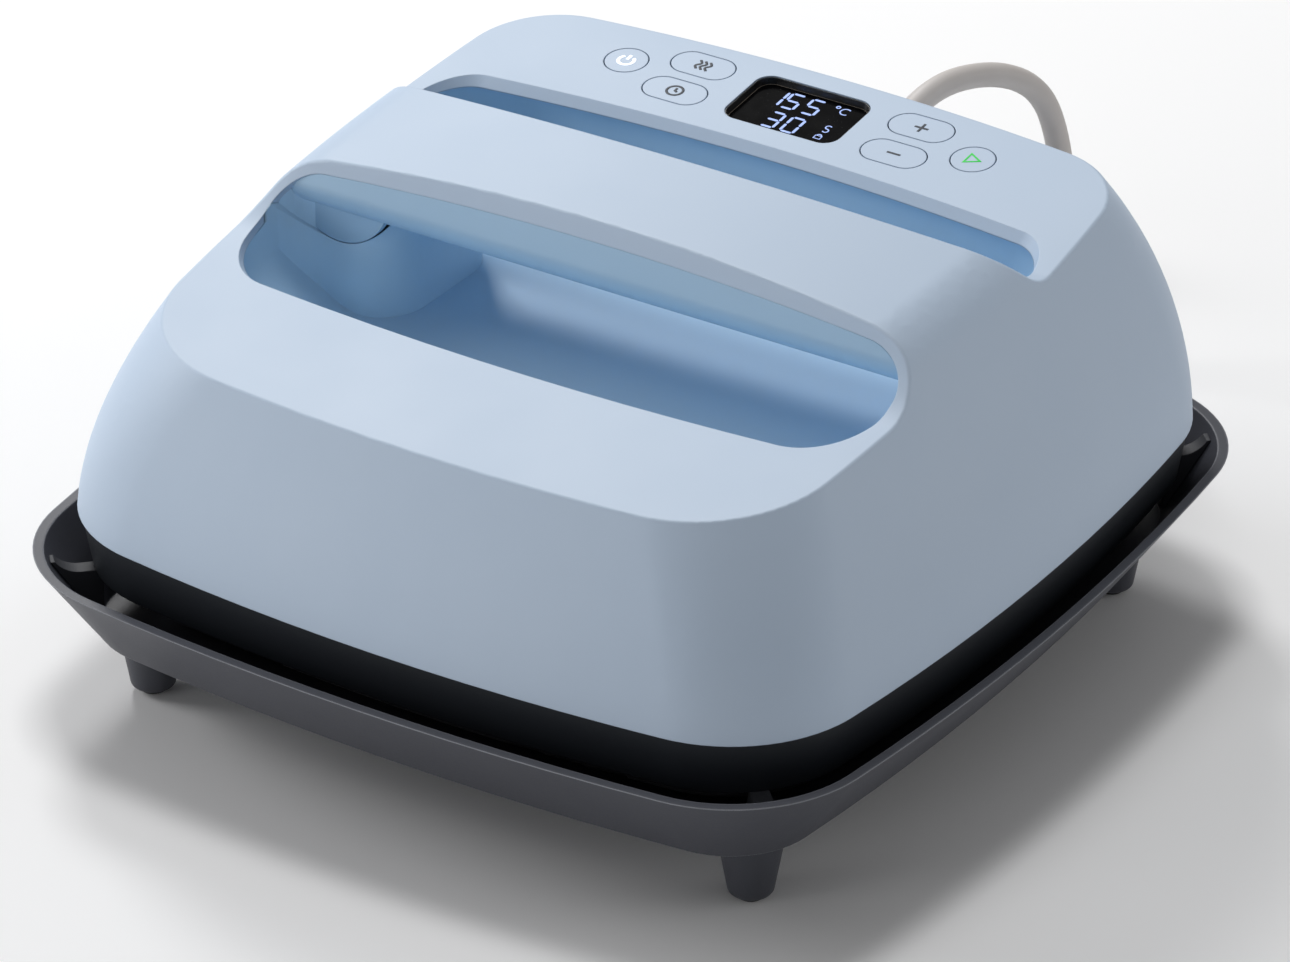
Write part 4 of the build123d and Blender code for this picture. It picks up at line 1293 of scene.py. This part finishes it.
    def digits(self, material: bpy.types.Material, repeat: Former) -> bpy.types.Object:
        """Seven-segment numbers in two rows.

        Args:
            material: Their finish.
            repeat: Tree that repeats a piece on points.

        Returns:
            The piece, still at the origin.
        """
        long, thick = self.segment
        tip, half = long / 2 - thick / 2, thick / 2
        outline = [(-long / 2, 0), (-tip, -half), (tip, -half)]
        outline += [(long / 2, 0), (tip, half), (-tip, half)]
        low, rise = -self.segment_sink * MM, self.segment_height * MM
        bar = bpy.data.meshes.new("segment_bar")
        work = bmesh.new()
        face = work.faces.new([work.verts.new((x * MM, y * MM, low)) for x, y in outline])
        made = bmesh.ops.extrude_face_region(work, geom=[face])["geom"]
        raised = [item for item in made if isinstance(item, bmesh.types.BMVert)]
        bmesh.ops.translate(work, verts=raised, vec=(0, 0, rise))
        bmesh.ops.recalc_face_normals(work, faces=work.faces)
        work.to_mesh(bar)
        work.free()
        single = add_object("segment_bar", bar)
        wide, high = self.cell
        bars = {
            "a": (0, high / 2, 0),
            "b": (wide / 2, high / 4, 90),
            "c": (wide / 2, -high / 4, 90),
            "d": (0, -high / 2, 0),
            "e": (-wide / 2, -high / 4, 90),
            "f": (-wide / 2, high / 4, 90),
            "g": (0, 0, 0),
        }
        rows = []
        for lit, u, v in self.numbers:
            for letter in lit:
                x, y, angle = bars[letter]
                turn = (0, 0, math.radians(angle))
                rows.append((((u + x) * MM, (v + y) * MM, 0), turn, (1, 1, 1)))
        piece = add_object("display_digits", point_mesh("display_digits", rows))
        repeat.form(piece, Piece=single, Material=material)
        bpy.data.objects.remove(single)
        return piece

    def sign_strokes(self) -> list[Stroke]:
        """Strokes of the unit signs and the lock beside the numbers."""
        degree = (ring((7.7, 9.0), 0.55, 14), True)
        unit = (arc((10.7, 7.7), 1.5, 50, 310, 18), False)
        upper = arc((10.8, -1.3), 0.85, 40, 270, 12)
        lower = arc((10.8, -3.0), 0.85, 90, -140, 12)
        second = (upper + lower, False)
        lock = ([(9.6, -7.6), (11.6, -7.6), (11.6, -6.1), (9.6, -6.1)], True)
        shackle = (arc((10.6, -6.1), 0.7, 0, 180, 8), False)
        return [degree, unit, second, lock, shackle]


@dataclass
class SafetyBase:
    """Dark tray on four legs, with soft rests and pads."""

    shown: tuple[Carried, ...] = (
        Carried("base_dish", "base_tray", "tray_grey", "tray_grey", 30.0),
        Carried("corner_fins", "corner_rests", "rest_rubber", "rest_rubber"),
        Carried("leg_pads", "foot_pads", "pad_rubber", "pad_rubber"),
    )

    def build(self, book: FinishBook) -> None:
        """Dresses the base.

        Args:
            book: The finishes.
        """
        for item in self.shown:
            item.build(book, Body.BASE.value)


def main() -> None:
    """Builds the camera, the cord, the press, its panel, the base and the studio in order."""
    logging.basicConfig(level=logging.INFO, format="%(name)s: %(message)s")
    book = FinishBook()
    sweep, repeat = sweep_former(), repeat_former()
    StudioCamera().build()
    MainsCord().build(book, sweep, repeat)
    PressBody().build(book)
    RecessCorner().build(book)
    ControlPanel().build(book, sweep, repeat)
    SafetyBase().build(book)
    Studio().build()


if __name__ == "__main__":
    main()
